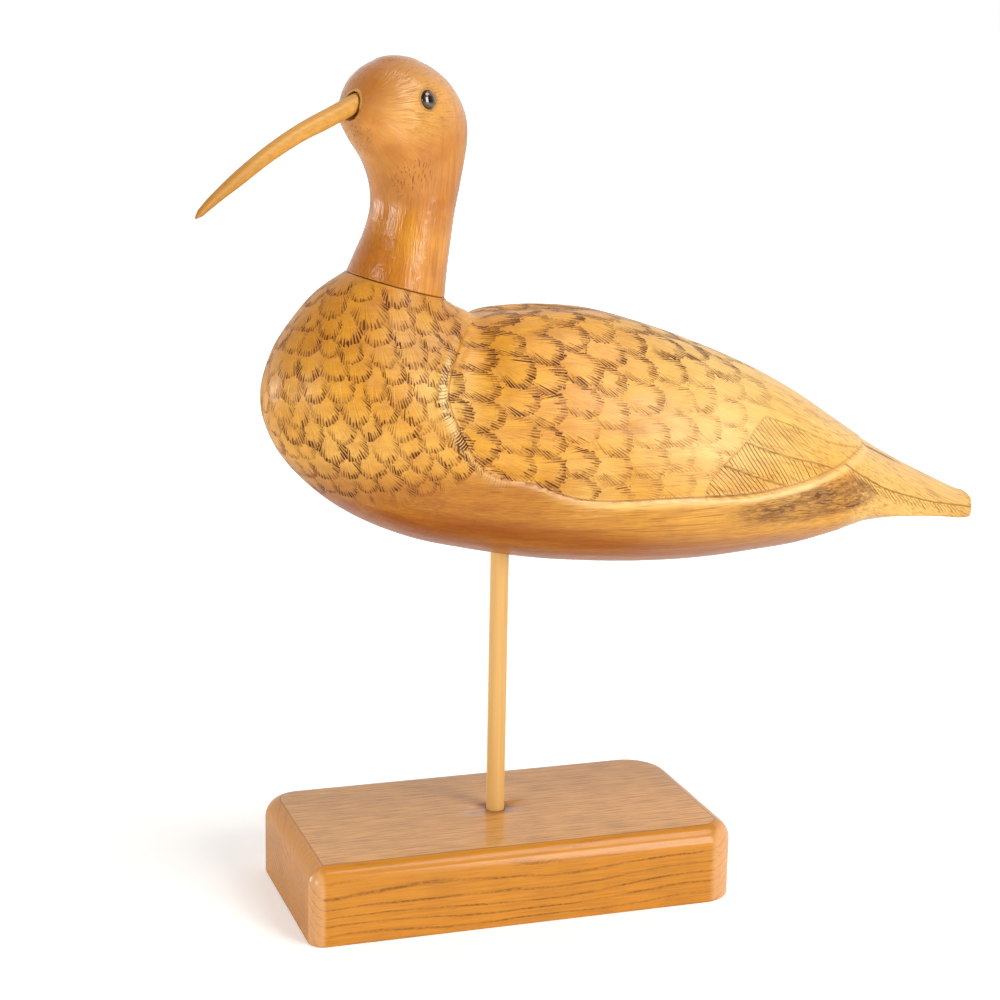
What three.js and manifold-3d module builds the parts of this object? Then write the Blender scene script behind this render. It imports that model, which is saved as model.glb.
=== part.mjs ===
// A carved shorebird decoy on a dowel post and a rounded base block. Millimetres, +Z up, bill towards -X.
// The origin is the centre of the base's underside, straight below the post.
import * as THREE from "three";
import { mergeVertices } from "three/addons/utils/BufferGeometryUtils.js";
import Module from "manifold-3d";

const wasm = await Module();
wasm.setup();

// Base block
const baseLength = 152;
const baseWidth = 80;
const baseThickness = 27;
const topRounding = 6.5;
const footRounding = 0.8;
const cornerRadiusBackTail = 16.4;
const cornerRadiusBackBill = 12.9;
const cornerRadiusFrontBill = 5.6;
const cornerRadiusFrontTail = 11.3;
const smallestCorner = 0.4;

// Post, which shows from the base's top up to the lowest level of the belly and a little above it
const postDiameter = 6.35;
const postShown = 87.7;
const postInBase = 18;
const postInBody = 26;
const postHoleSlack = 0.35;
const endGap = 0.3;

// The bird: its body and head are carved by eye, so their forms are shares of this length, breast to tail
const figureLength = 260;
const seamGap = 0.3;
const headTurn = 30;
const wingRecess = 1;
const featherStep = 0.35;
const tailStep = 0.5;
const tailSideStep = 0.6;
const backGrooveDepth = 2.4;

// Bill, a turned and bent piece in a drilled hole
const billReach = 63.9;
const billRootDiameter = 6;
const billInHead = 12;
const billPitch = 18;
const billHoleSlack = 0.7;
const billHoleChamfer = 0.5;

// Glass eyes with flat backs in shallow sockets
const eyeDiameter = 5.8;
const eyeDome = 1.5;
const eyeSink = 0.5;
const eyeBack = 1.6;
const eyeSocketSlack = 0.3;

const bellyLevel = baseThickness + postShown;
const postFoot = baseThickness - postInBase;
const postTop = bellyLevel + postInBody;
const share = figureLength / 100;
const drillReach = 8;
const radians = THREE.MathUtils.degToRad;

// Stations of the body from the tail's end to the neck seam, in hundredths of the figure's length:
// upper point x z, lower point x z, half width, where the widest line lies between them (0 low, 1 high),
// fullness of the upper and the lower half (2 is an ellipse), height of the flat side band.
const bodyStations = [
  [68.2, 6.7, 68.2, 5.0, 2.8, 0.4, 1.6, 2.2, 0.4],
  [67.7, 6.8, 67.7, 3.8, 3.8, 0.23, 1.4, 2.4, 1.1],
  [66.2, 7.6, 66.2, 3.3, 4.7, 0.23, 1.35, 2.4, 1.2],
  [63.1, 9.1, 63.1, 3.6, 5.6, 0.23, 1.35, 2.4, 1.3],
  [58.5, 11.4, 58.5, 3.9, 6.7, 0.26, 1.4, 2.4, 1.8],
  [53.8, 14.0, 53.8, 4.0, 7.9, 0.29, 1.5, 2.2, 2.3],
  [48.5, 17.4, 48.5, 3.1, 9.4, 0.38, 1.7, 2.1, 1.7],
  [41.2, 22.2, 41.2, 1.2, 11.1, 0.44, 1.9, 2.0, 0.4],
  [34.6, 25.9, 34.6, 0.5, 12.2, 0.44, 2.0, 2.0, 0.3],
  [27.3, 29.2, 27.3, 0.0, 13.2, 0.44, 2.05, 2.0, 0.3],
  [19.6, 32.1, 19.6, 0.0, 13.8, 0.44, 2.2, 2.0, 0.3],
  [11.9, 34.2, 11.5, 0.5, 13.9, 0.44, 2.3, 2.0, 0.3],
  [4.6, 34.8, 3.1, 1.5, 13.8, 0.44, 2.4, 2.0, 0.3],
  [-1.2, 34.6, -5.4, 3.2, 13.5, 0.44, 2.3, 2.0, 0.3],
  [-4.1, 34.1, -13.0, 5.2, 13.1, 0.44, 2.05, 2.05, 0.3],
  [-5.5, 34.3, -20.0, 8.3, 12.6, 0.44, 2.0, 2.1, 0.3],
  [-6.3, 34.7, -25.6, 12.3, 11.9, 0.45, 2.0, 2.1, 0.3],
  [-6.9, 35.0, -29.9, 17.4, 11.0, 0.46, 2.0, 2.1, 0.3],
  [-7.3, 35.3, -31.8, 23.3, 9.8, 0.47, 2.0, 2.1, 0.3],
  [-7.7, 35.5, -30.4, 29.3, 8.6, 0.48, 2.0, 2.1, 0.3],
  [-8.0, 35.7, -27.3, 34.1, 7.5, 0.49, 2.0, 2.1, 0.3],
  [-8.1, 35.9, -24.4, 37.2, 6.6, 0.5, 2.0, 2.1, 0.3],
  [-8.2, 36.0, -20.9, 39.5, 6.0, 0.5, 2.0, 2.1, 0.3],
];

// Rings of the neck and head above the seam, in the same shares: centre x z, half length, half width,
// then the ring's slope down towards the back in degrees and its share of the head's turn.
const headStations = [
  [-13.9, 40.5, 6.0, 5.7, 12.5, 0.08],
  [-13.0, 44.0, 5.5, 5.4, 9.0, 0.25],
  [-12.4, 47.4, 5.4, 5.2, 6.0, 0.5],
  [-12.2, 50.5, 6.1, 5.2, 3.0, 0.75],
  [-12.4, 53.4, 7.3, 5.5, 1.0, 0.92],
  [-13.0, 56.1, 8.8, 5.9, 0, 1],
  [-13.7, 58.6, 9.4, 6.2, 0, 1],
  [-14.1, 60.9, 8.6, 6.1, 0, 1],
  [-14.4, 63.0, 6.9, 5.6, 0, 1],
  [-14.6, 64.6, 5.0, 4.1, 0, 1],
  [-14.7, 65.6, 3.0, 2.5, 0, 1],
  [-14.9, 66.2, 1.0, 0.8, 0, 1],
];

// Where the bill and the eyes sit on the head: the ring's share, and degrees round it from the bill
const billPlace = [60.2, 0];
const eyePlace = [61.1, 82.5];

// Carved lines in the side view, x z in the same shares. Both sides of the bird carry them.
const wingEdge = [
  [-4.0, 36.5], [-4.9, 33.9], [-7.7, 32.0], [-10.0, 28.4], [-10.9, 25.3], [-10.0, 21.8], [-7.7, 17.5],
  [-4.6, 15.1], [0, 13.9], [4.6, 12.0], [9.6, 11.1], [19.2, 11.0], [28.8, 10.7], [35.4, 11.3],
  [40.8, 12.4], [45.4, 13.7], [48.8, 14.5], [51.2, 15.3], [52.5, 17.2],
];
const covertEdge = [
  [32.7, 20.7], [31.0, 19.4], [29.3, 17.8], [27.7, 16.5], [26.0, 15.2], [24.0, 12.8], [23.3, 9.5],
];
const featherLines = [
  [[32.7, 20.7], [38.2, 18.7], [43.5, 16.3], [49.2, 14.8], [53, 14]],
  [[29.3, 17.8], [34.9, 15.7], [40.2, 14.2], [42.8, 13.3], [46, 12]],
  [[26.4, 14.9], [31.1, 13.1], [35.5, 11.6], [38, 10.6]],
];
const tailLine = [
  [44.5, 14.1], [46.7, 12.5], [49.0, 11.2], [52.4, 9.4], [56.4, 8.0], [60, 6.9], [63.4, 6.1], [75, 3.6],
];
const backGrooveProfile = [[-5.4, 0], [-1.5, 0.65], [2.3, 1], [7.7, 0.85], [17.3, 0.3], [23.8, 0]];
const backGrooveSpread = 2.3;
const tailSideProfile = [[46.2, 0], [50, 1]];
const wingRecessProfile = [[-5.4, 1], [23, 1], [42, 0.15], [60, 0.15]];

// Limits of the cutting regions in the side view, outside the bird or inside a region cut before
const wellAbove = 45;
const wellBehind = 75;
const wellAhead = 16;

// A value between the rows of [place, value], straight from one to the next
function lookUp(rows, place) {
  const last = rows.length - 1;
  if (place <= rows[0][0]) return rows[0][1];
  if (place >= rows[last][0]) return rows[last][1];
  const i = rows.findIndex((row) => row[0] > place) - 1;
  const [[x0, y0], [x1, y1]] = [rows[i], rows[i + 1]];
  return y0 + ((y1 - y0) * (place - x0)) / (x1 - x0);
}

// The row between two stations of a table, on a Catmull-Rom curve through all of them
function stationAt(rows, t) {
  const last = rows.length - 1;
  const i = Math.min(Math.floor(t), last - 1);
  const f = t - i;
  return rows[i].map((p1, k) => {
    const p2 = rows[i + 1][k];
    const p0 = i > 0 ? rows[i - 1][k] : 2 * p1 - p2;
    const p3 = i < last - 1 ? rows[i + 2][k] : 2 * p2 - p1;
    const bend = 2 * p0 - 5 * p1 + 4 * p2 - p3;
    return 0.5 * (2 * p1 + (p2 - p0) * f + bend * f * f + (3 * p1 - p0 - 3 * p2 + p3) * f ** 3);
  });
}

// A closed skin over rings of equal count, with a fan over each end
function skin(rings) {
  const count = rings[0].length;
  const middles = [rings[0], rings[rings.length - 1]].map((ring) =>
    ring.reduce((sum, p) => sum.add(p), new THREE.Vector3()).divideScalar(count),
  );
  const points = [...rings.flat(), ...middles];
  const faces = [];
  for (let r = 0; r < rings.length - 1; r++)
    for (let k = 0; k < count; k++) {
      const a = r * count + k;
      const b = r * count + ((k + 1) % count);
      faces.push(a, b, b + count, a, b + count, a + count);
    }
  const lastRing = (rings.length - 1) * count;
  for (let k = 0; k < count; k++) {
    const next = (k + 1) % count;
    faces.push(next, k, points.length - 2);
    faces.push(lastRing + k, lastRing + next, points.length - 1);
  }
  const geometry = new THREE.BufferGeometry().setFromPoints(points);
  if (signedVolume(points, faces) < 0)
    for (let i = 0; i < faces.length; i += 3) [faces[i], faces[i + 1]] = [faces[i + 1], faces[i]];
  geometry.setIndex(faces);
  return geometry;
}

function signedVolume(points, faces) {
  let sum = 0;
  const cross = new THREE.Vector3();
  for (let i = 0; i < faces.length; i += 3)
    sum += points[faces[i]].dot(cross.crossVectors(points[faces[i + 1]], points[faces[i + 2]]));
  return sum / 6;
}

function solidFrom(geometry) {
  const bare = geometry.clone();
  bare.deleteAttribute("normal");
  bare.deleteAttribute("uv");
  const merged = mergeVertices(bare, 1e-4);
  const vertProperties = merged.attributes.position.array;
  const triVerts = new Uint32Array(merged.index.array);
  return new wasm.Manifold(new wasm.Mesh({ numProp: 3, vertProperties, triVerts }));
}

function geometryFrom(solid) {
  const { vertProperties, triVerts } = solid.getMesh();
  const geometry = new THREE.BufferGeometry();
  geometry.setAttribute("position", new THREE.BufferAttribute(new Float32Array(vertProperties), 3));
  geometry.setIndex([...triVerts]);
  geometry.computeVertexNormals();
  return geometry;
}

// A turned shape: profile of [radius, height] about an axis that starts at a point
function turned(profile, start, axis, sides) {
  const points = profile.map(([radius, height]) => new THREE.Vector2(radius, height));
  const geometry = new THREE.LatheGeometry(points, sides);
  const turn = new THREE.Quaternion().setFromUnitVectors(new THREE.Vector3(0, 1, 0), axis);
  return geometry.applyQuaternion(turn).translate(start.x, start.y, start.z);
}

function rod(diameter, start, axis, from, to, sides = 32) {
  return turned([[0, from], [diameter / 2, from], [diameter / 2, to], [0, to]], start, axis, sides);
}

const up = new THREE.Vector3(0, 0, 1);
const origin = new THREE.Vector3();

// One ring of the body: left side from the lower to the upper point, right side back down.
// The inset makes it smaller all round, and the back's groove dips between the wings.
const quarterSteps = 7;
function bodyRing(t, inset) {
  const row = stationAt(bodyStations, t);
  const [upperX, upperZ, lowerX, lowerZ] = row;
  const depth = inset(upperX) / share;
  const upper = new THREE.Vector2(upperX, upperZ);
  const lower = new THREE.Vector2(lowerX, lowerZ);
  const rise = upper.clone().sub(lower);
  const height = rise.length();
  rise.normalize();
  const [, , , , halfWidth, widest, upperFull, lowerFull, band] = row;
  const middle = lower.clone().addScaledVector(rise, widest * height);
  const groove = (lookUp(backGrooveProfile, upperX) * backGrooveDepth) / share;
  const side = [];
  for (let k = 0; k <= quarterSteps; k++) {
    const angle = (Math.PI / 2) * (k / quarterSteps);
    const out = (halfWidth - depth) * Math.sin(angle) ** (2 / lowerFull);
    const down = (widest * height - band / 2) * Math.cos(angle) ** (2 / lowerFull);
    side.push([out, -band / 2 - down]);
  }
  for (let k = 0; k <= quarterSteps; k++) {
    const angle = (Math.PI / 2) * (k / quarterSteps);
    const out = (halfWidth - depth) * Math.cos(angle) ** (2 / upperFull);
    const full = (1 - widest) * height - band / 2 - depth;
    const dip = groove * Math.exp(-((out / backGrooveSpread) ** 2));
    side.push([out, band / 2 + full * Math.sin(angle) ** (2 / upperFull) - dip]);
  }
  side[0][0] = 0;
  side[side.length - 1][0] = 0;
  const left = side.map(([out, along]) => [-out, along]);
  const right = side.slice(1, -1).reverse();
  return [...left, ...right].map(([y, along]) => {
    const p = middle.clone().addScaledVector(rise, along);
    return new THREE.Vector3(p.x * share, y * share, bellyLevel + p.y * share);
  });
}

const ringsPerStation = 3;
function bodySkin(inset) {
  const rings = [];
  const count = (bodyStations.length - 1) * ringsPerStation;
  for (let i = 0; i <= count; i++) rings.push(bodyRing(i / ringsPerStation, inset));
  return skin(rings);
}

// A flat outline of the side view, carried right through the bird from side to side
function throughBird(outline) {
  const shape = new THREE.Shape(outline.map(([x, z]) => new THREE.Vector2(x * share, z * share)));
  const width = figureLength;
  const geometry = new THREE.ExtrudeGeometry(shape, { depth: width, bevelEnabled: false });
  return geometry.rotateX(Math.PI / 2).translate(0, width / 2, bellyLevel);
}

function curved(points, steps) {
  const spline = new THREE.SplineCurve(points.map(([x, z]) => new THREE.Vector2(x, z)));
  return spline.getPoints(steps).map((p) => [p.x, p.y]);
}

// Lowers the surface inside a region by a depth that may change along the bird
function lowered(solid, region, depthAt) {
  return solid.subtract(region.subtract(solidFrom(bodySkin(depthAt))));
}

function makeBody() {
  const recessAt = (x) => wingRecess * lookUp(wingRecessProfile, x);
  const edge = curved(wingEdge, 42);
  const wing = solidFrom(throughBird([...edge, [edge.at(-1)[0], wellAbove], [edge[0][0], wellAbove]]));
  let body = lowered(solidFrom(bodySkin(() => 0)), wing, recessAt);

  // Each row of long feathers, behind the coverts, lies one step lower than the one above it.
  const [coverTop, coverFoot] = [covertEdge[0], covertEdge.at(-1)];
  const corners = [[wellBehind, coverFoot[1]], [wellBehind, wellAbove], [coverTop[0], wellAbove]];
  const longFeathers = wing.intersect(solidFrom(throughBird([...covertEdge, ...corners])));
  featherLines.forEach((line, i) => {
    const under = [...curved(line, 8), [line.at(-1)[0], 0], [wellAhead, 0], [wellAhead, line[0][1]]];
    const row = longFeathers.intersect(solidFrom(throughBird(under)));
    body = lowered(body, row, (x) => recessAt(x) + featherStep * (i + 1));
  });

  // The tail lies under the wing tips, and its sides lie under the edges of its middle feathers.
  const tailEdge = curved(tailLine, 16).reverse();
  const tailTop = [[tailLine[0][0], wellAbove], [wellBehind, wellAbove], ...tailEdge];
  const tailFoot = [[tailLine[0][0], 0], [wellBehind, 0], ...tailEdge];
  const middle = solidFrom(throughBird(tailTop)).subtract(wing);
  const sides = solidFrom(throughBird(tailFoot)).subtract(wing);
  const sideDepth = (x) => (tailStep + tailSideStep) * lookUp(tailSideProfile, x);
  body = lowered(lowered(body, middle, () => tailStep), sides, sideDepth);

  const hole = rod(postDiameter + 2 * postHoleSlack, origin, up, bellyLevel - drillReach, postTop + endGap);
  body = body.subtract(solidFrom(hole));
  // Where two cuts nearly meet they leave chips thinner than a hair, which fall away.
  const [whole] = body.decompose().sort((a, b) => b.volume() - a.volume());
  return geometryFrom(whole);
}

// The level directions of a ring turned towards the bird's left: forward to the bill, and to its left
function headFrame(turn) {
  const angle = radians(turn);
  return {
    forward: new THREE.Vector3(-Math.cos(angle), -Math.sin(angle), 0),
    left: new THREE.Vector3(Math.sin(angle), -Math.cos(angle), 0),
  };
}

// The neck's lowest ring, which lies on the body's last one with the seam's gap below and around it
function seamStation() {
  const [backX, backZ, frontX, frontZ, halfWidth] = bodyStations.at(-1);
  const slope = Math.atan2(frontZ - backZ, backX - frontX);
  const gap = seamGap / share;
  const halfLength = Math.hypot(backX - frontX, frontZ - backZ) / 2;
  return [
    (backX + frontX) / 2 + gap * Math.sin(slope),
    (backZ + frontZ) / 2 + gap * Math.cos(slope),
    halfLength - gap,
    halfWidth - gap,
    THREE.MathUtils.radToDeg(slope),
    0,
  ];
}

const headRows = [seamStation(), ...headStations];
const headSides = 24;

function headPoint(t, around) {
  const [x, z, halfLength, halfWidth, slope, turnShare] = stationAt(headRows, t);
  const { forward, left } = headFrame(headTurn * turnShare);
  const ahead = forward.clone().multiplyScalar(Math.cos(radians(slope)));
  ahead.z = Math.sin(radians(slope));
  return new THREE.Vector3(x * share, 0, bellyLevel + z * share)
    .addScaledVector(ahead, halfLength * share * Math.cos(around))
    .addScaledVector(left, halfWidth * share * Math.sin(around));
}

// The station whose ring lies at a height, in shares
function headStationAt(height) {
  const step = 0.01;
  let t = 0;
  while (stationAt(headRows, t)[1] < height) t += step;
  return t;
}

function headNormal(t, around) {
  const small = 0.05;
  const alongRing = headPoint(t, around + small).sub(headPoint(t, around - small));
  const upRings = headPoint(t + small, around).sub(headPoint(t - small, around));
  return alongRing.cross(upRings).normalize();
}

const eyeSides = 16;

function billFrame() {
  const [ringShare, around] = billPlace;
  const root = headPoint(headStationAt(ringShare), radians(around));
  const { forward } = headFrame(headTurn);
  const axis = forward.clone().multiplyScalar(Math.cos(radians(billPitch)));
  axis.z = -Math.sin(radians(billPitch));
  return { root, forward, axis };
}

function eyeFrame(sign) {
  const t = headStationAt(eyePlace[0]);
  const around = sign * radians(eyePlace[1]);
  return { place: headPoint(t, around), axis: headNormal(t, around) };
}

function makeHead() {
  const rings = [];
  const perStation = 2;
  const angles = Array.from({ length: headSides }, (_, k) => (2 * Math.PI * k) / headSides);
  for (let i = 0; i <= (headRows.length - 1) * perStation; i++)
    rings.push(angles.map((around) => headPoint(i / perStation, around)));
  let head = solidFrom(skin(rings));
  const { root, axis } = billFrame();
  const holeRadius = billRootDiameter / 2 + billHoleSlack;
  const depth = billInHead + endGap;
  const mouthRadius = holeRadius + billHoleChamfer;
  const bore = [[0, -depth], [holeRadius, -depth], [holeRadius, -billHoleChamfer]];
  const mouth = [[mouthRadius, 0], [mouthRadius, drillReach], [0, drillReach]];
  head = head.subtract(solidFrom(turned([...bore, ...mouth], root, axis, 32)));
  for (const sign of [1, -1]) {
    const { place, axis: outward } = eyeFrame(sign);
    const width = eyeDiameter + 2 * eyeSocketSlack;
    const socket = rod(width, place, outward, -eyeBack - endGap, drillReach, eyeSides);
    head = head.subtract(solidFrom(socket));
  }
  return geometryFrom(head);
}

// The bill's centre line in shares of its reach, and its diameter in shares of the root's
const billLine = [
  [0.142, -0.05], [0.329, -0.114], [0.526, -0.2], [0.718, -0.303], [0.907, -0.415], [1, -0.48],
];
const billThickness = [
  [0, 1], [0.2, 1], [0.33, 0.93], [0.46, 0.88], [0.59, 0.83], [0.72, 0.78],
  [0.78, 0.71], [0.85, 0.61], [0.91, 0.53], [0.97, 0.4], [1, 0.12],
];

function makeBill() {
  const { root, forward, axis } = billFrame();
  const inside = root.clone().addScaledVector(axis, -billInHead);
  const points = billLine.map(([along, down]) => {
    const p = root.clone().addScaledVector(forward, along * billReach);
    p.z += down * billReach;
    return p;
  });
  const curve = new THREE.CatmullRomCurve3([inside, root, ...points]);
  const across = new THREE.Vector3().crossVectors(up, forward).normalize();
  const steps = 22;
  const sides = 12;
  const rings = [];
  for (let i = 0; i <= steps; i++) {
    const centre = curve.getPointAt(i / steps);
    const along = centre.clone().sub(root).dot(forward) / billReach;
    const radius = (billRootDiameter / 2) * lookUp(billThickness, along);
    const over = new THREE.Vector3().crossVectors(curve.getTangentAt(i / steps), across).normalize();
    const ring = [];
    for (let k = 0; k < sides; k++) {
      const angle = (2 * Math.PI * k) / sides;
      const p = centre.clone().addScaledVector(over, radius * Math.cos(angle));
      ring.push(p.addScaledVector(across, radius * Math.sin(angle)));
    }
    rings.push(ring);
  }
  return skin(rings);
}

function makeEye(sign) {
  const { place, axis } = eyeFrame(sign);
  const radius = eyeDiameter / 2;
  const profile = [[0, -eyeBack], [radius, -eyeBack]];
  const steps = 5;
  for (let k = 0; k <= steps; k++) {
    const angle = (Math.PI / 2) * (k / steps);
    profile.push([k === steps ? 0 : radius * Math.cos(angle), eyeDome * Math.sin(angle) - eyeSink]);
  }
  return turned(profile, place, axis, eyeSides);
}

// One level of the base: its outline drawn in by an inset, which the corner arcs take up
function baseRing(height, inset) {
  const corners = [
    [1, 1, cornerRadiusBackTail],
    [-1, 1, cornerRadiusBackBill],
    [-1, -1, cornerRadiusFrontBill],
    [1, -1, cornerRadiusFrontTail],
  ];
  const arcSteps = 5;
  const ring = [];
  corners.forEach(([sideX, sideY, radius], quarter) => {
    const inner = Math.max(radius - inset, smallestCorner);
    const centreX = sideX * (baseLength / 2 - inset - inner);
    const centreY = sideY * (baseWidth / 2 - inset - inner);
    for (let k = 0; k <= arcSteps; k++) {
      const angle = (Math.PI / 2) * (quarter + k / arcSteps);
      const [x, y] = [centreX + inner * Math.cos(angle), centreY + inner * Math.sin(angle)];
      ring.push(new THREE.Vector3(x, y, height));
    }
  });
  return ring;
}

function makeBase() {
  const rings = [];
  const footSteps = 2;
  const roundSteps = 5;
  for (let k = 0; k <= footSteps; k++) {
    const angle = (Math.PI / 2) * (k / footSteps);
    rings.push(baseRing(footRounding * (1 - Math.cos(angle)), footRounding * (1 - Math.sin(angle))));
  }
  for (let k = 0; k <= roundSteps; k++) {
    const angle = (Math.PI / 2) * (k / roundSteps);
    const drop = topRounding * (1 - Math.sin(angle));
    rings.push(baseRing(baseThickness - drop, topRounding * (1 - Math.cos(angle))));
  }
  const block = solidFrom(skin(rings));
  const width = postDiameter + 2 * postHoleSlack;
  const hole = rod(width, origin, up, postFoot - endGap, baseThickness + drillReach);
  return geometryFrom(block.subtract(solidFrom(hole)));
}

function makePost() {
  return rod(postDiameter, origin, up, postFoot, postTop);
}

const finishes = {
  figure: { color: 0xd9963c, roughness: 0.35 },
  head: { color: 0xcf8436, roughness: 0.35 },
  bill: { color: 0xd8a052, roughness: 0.4 },
  post: { color: 0xe3c48f, roughness: 0.6 },
  base: { color: 0xb87333, roughness: 0.35 },
  eye: { color: 0x20120a, roughness: 0.05 },
};

const decoy = new THREE.Group();
function add(name, geometry, finish) {
  const material = new THREE.MeshStandardMaterial({ ...finishes[finish], metalness: 0 });
  const mesh = new THREE.Mesh(geometry, material);
  mesh.name = name;
  decoy.add(mesh);
}

add("base", makeBase(), "base");
add("post", makePost(), "post");
add("body", makeBody(), "figure");
add("head", makeHead(), "head");
add("bill", makeBill(), "bill");
add("eye_left", makeEye(1), "eye");
add("eye_right", makeEye(-1), "eye");

export default decoy;
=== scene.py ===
import math
from functools import partial

import bpy
import numpy as np
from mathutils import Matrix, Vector, noise
from mathutils.bvhtree import BVHTree


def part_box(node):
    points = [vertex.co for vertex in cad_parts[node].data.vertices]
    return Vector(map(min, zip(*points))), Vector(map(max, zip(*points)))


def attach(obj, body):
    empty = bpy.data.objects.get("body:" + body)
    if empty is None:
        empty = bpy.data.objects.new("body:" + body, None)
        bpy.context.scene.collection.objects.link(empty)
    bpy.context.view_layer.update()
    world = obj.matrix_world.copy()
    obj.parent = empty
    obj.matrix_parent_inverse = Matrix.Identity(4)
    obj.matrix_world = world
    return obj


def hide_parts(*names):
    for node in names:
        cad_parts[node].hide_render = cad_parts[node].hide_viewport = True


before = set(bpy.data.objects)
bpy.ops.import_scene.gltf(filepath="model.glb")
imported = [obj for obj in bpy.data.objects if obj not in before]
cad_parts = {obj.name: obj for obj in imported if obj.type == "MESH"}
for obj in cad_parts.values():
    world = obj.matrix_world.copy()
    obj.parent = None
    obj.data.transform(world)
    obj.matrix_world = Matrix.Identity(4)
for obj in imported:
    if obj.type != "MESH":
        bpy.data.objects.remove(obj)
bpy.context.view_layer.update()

bl_info = {
    "name": "Carved Shorebird Decoy",
    "version": (1, 0, 0),
    "blender": (4, 5, 0),
    "location": "3D View > Sidebar > Decoy",
    "description": "Builds a carved and varnished shorebird on a dowel post and a rounded oak base",
    "category": "Object",
}

MM = 0.001

# Sizes in millimetres, read from the frame
base_low, base_high = [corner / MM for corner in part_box("base")]
post_low, post_high = [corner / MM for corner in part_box("post")]
body_low, body_high = [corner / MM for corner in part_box("body")]
base_length = base_high.x - base_low.x
base_width = base_high.y - base_low.y
base_thickness = base_high.z
post_diameter = post_high.x - post_low.x
figure_length = body_high.x - body_low.x

# Sizes in millimetres that the solids share
post_shown = 87.7
post_hole_slack = 0.35
post_easing = 0.4
end_gap = 0.3
seam_gap = 0.3
head_turn = 30
top_rounding = 6.5
foot_rounding = 0.8
corner_radii = {"back_tail": 16.4, "back_bill": 12.9, "front_bill": 5.6, "front_tail": 11.3}
smallest_corner = 0.4
bill_reach = 63.9
bill_root_diameter = 6
bill_in_head = 12
bill_pitch = 18
bill_hole_slack = 0.7
bill_hole_chamfer = 0.5
eye_diameter = 5.8
eye_dome = 1.5
eye_sink = 0.5
eye_back = 1.6
eye_socket_slack = 0.3
back_groove_depth = 2.4
back_groove_spread = 2.3

belly_level = base_thickness + post_shown
share = figure_length / 100

# Stations of the body from the tail's end to the neck seam, in hundredths of the figure's length:
# upper point x z, lower point x z, half width, where the widest line lies, fullness of the upper and
# the lower half, height of the flat side band
body_stations = [
    (68.2, 6.7, 68.2, 5.0, 2.8, 0.4, 1.6, 2.2, 0.4),
    (67.7, 6.8, 67.7, 3.8, 3.8, 0.23, 1.4, 2.4, 1.1),
    (66.2, 7.6, 66.2, 3.3, 4.7, 0.23, 1.35, 2.4, 1.2),
    (63.1, 9.1, 63.1, 3.6, 5.6, 0.23, 1.35, 2.4, 1.3),
    (58.5, 11.4, 58.5, 3.9, 6.7, 0.26, 1.4, 2.4, 1.8),
    (53.8, 14.0, 53.8, 4.0, 7.9, 0.29, 1.5, 2.2, 2.3),
    (48.5, 17.4, 48.5, 3.1, 9.4, 0.38, 1.7, 2.1, 1.7),
    (41.2, 22.2, 41.2, 1.2, 11.1, 0.44, 1.9, 2.0, 0.4),
    (34.6, 25.9, 34.6, 0.5, 12.2, 0.44, 2.0, 2.0, 0.3),
    (27.3, 29.2, 27.3, 0.0, 13.2, 0.44, 2.05, 2.0, 0.3),
    (19.6, 32.1, 19.6, 0.0, 13.8, 0.44, 2.2, 2.0, 0.3),
    (11.9, 34.2, 11.5, 0.5, 13.9, 0.44, 2.3, 2.0, 0.3),
    (4.6, 34.8, 3.1, 1.5, 13.8, 0.44, 2.4, 2.0, 0.3),
    (-1.2, 34.6, -5.4, 3.2, 13.5, 0.44, 2.3, 2.0, 0.3),
    (-4.1, 34.1, -13.0, 5.2, 13.1, 0.44, 2.05, 2.05, 0.3),
    (-5.5, 34.3, -20.0, 8.3, 12.6, 0.44, 2.0, 2.1, 0.3),
    (-6.3, 34.7, -25.6, 12.3, 11.9, 0.45, 2.0, 2.1, 0.3),
    (-6.9, 35.0, -29.9, 17.4, 11.0, 0.46, 2.0, 2.1, 0.3),
    (-7.3, 35.3, -31.8, 23.3, 9.8, 0.47, 2.0, 2.1, 0.3),
    (-7.7, 35.5, -30.4, 29.3, 8.6, 0.48, 2.0, 2.1, 0.3),
    (-8.0, 35.7, -27.3, 34.1, 7.5, 0.49, 2.0, 2.1, 0.3),
    (-8.1, 35.9, -24.4, 37.2, 6.6, 0.5, 2.0, 2.1, 0.3),
    (-8.2, 36.0, -20.9, 39.5, 6.0, 0.5, 2.0, 2.1, 0.3),
]

# Rings of the neck and head above the seam: centre x z, half length, half width, slope down towards
# the back in degrees, share of the head's turn
head_stations = [
    (-13.9, 40.5, 6.0, 5.7, 12.5, 0.08),
    (-13.0, 44.0, 5.5, 5.4, 9.0, 0.25),
    (-12.4, 47.4, 5.4, 5.2, 6.0, 0.5),
    (-12.2, 50.5, 6.1, 5.2, 3.0, 0.75),
    (-12.4, 53.4, 7.3, 5.5, 1.0, 0.92),
    (-13.0, 56.1, 8.8, 5.9, 0, 1),
    (-13.7, 58.6, 9.4, 6.2, 0, 1),
    (-14.1, 60.9, 8.6, 6.1, 0, 1),
    (-14.4, 63.0, 6.9, 5.6, 0, 1),
    (-14.6, 64.6, 5.0, 4.1, 0, 1),
    (-14.7, 65.6, 3.0, 2.5, 0, 1),
    (-14.9, 66.2, 1.0, 0.8, 0, 1),
]
bill_place = (60.2, 0)
eye_place = (61.1, 82.5)

# The bill's centre line in shares of its reach, and its diameter in shares of the root's
bill_line = [(0.142, -0.05), (0.329, -0.114), (0.526, -0.2), (0.718, -0.303), (0.907, -0.415), (1, -0.48)]
bill_thickness = [
    (0, 1), (0.2, 1), (0.33, 0.93), (0.46, 0.88), (0.59, 0.83), (0.72, 0.78),
    (0.78, 0.71), (0.85, 0.61), (0.91, 0.53), (0.97, 0.4), (1, 0.12),
]

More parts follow.
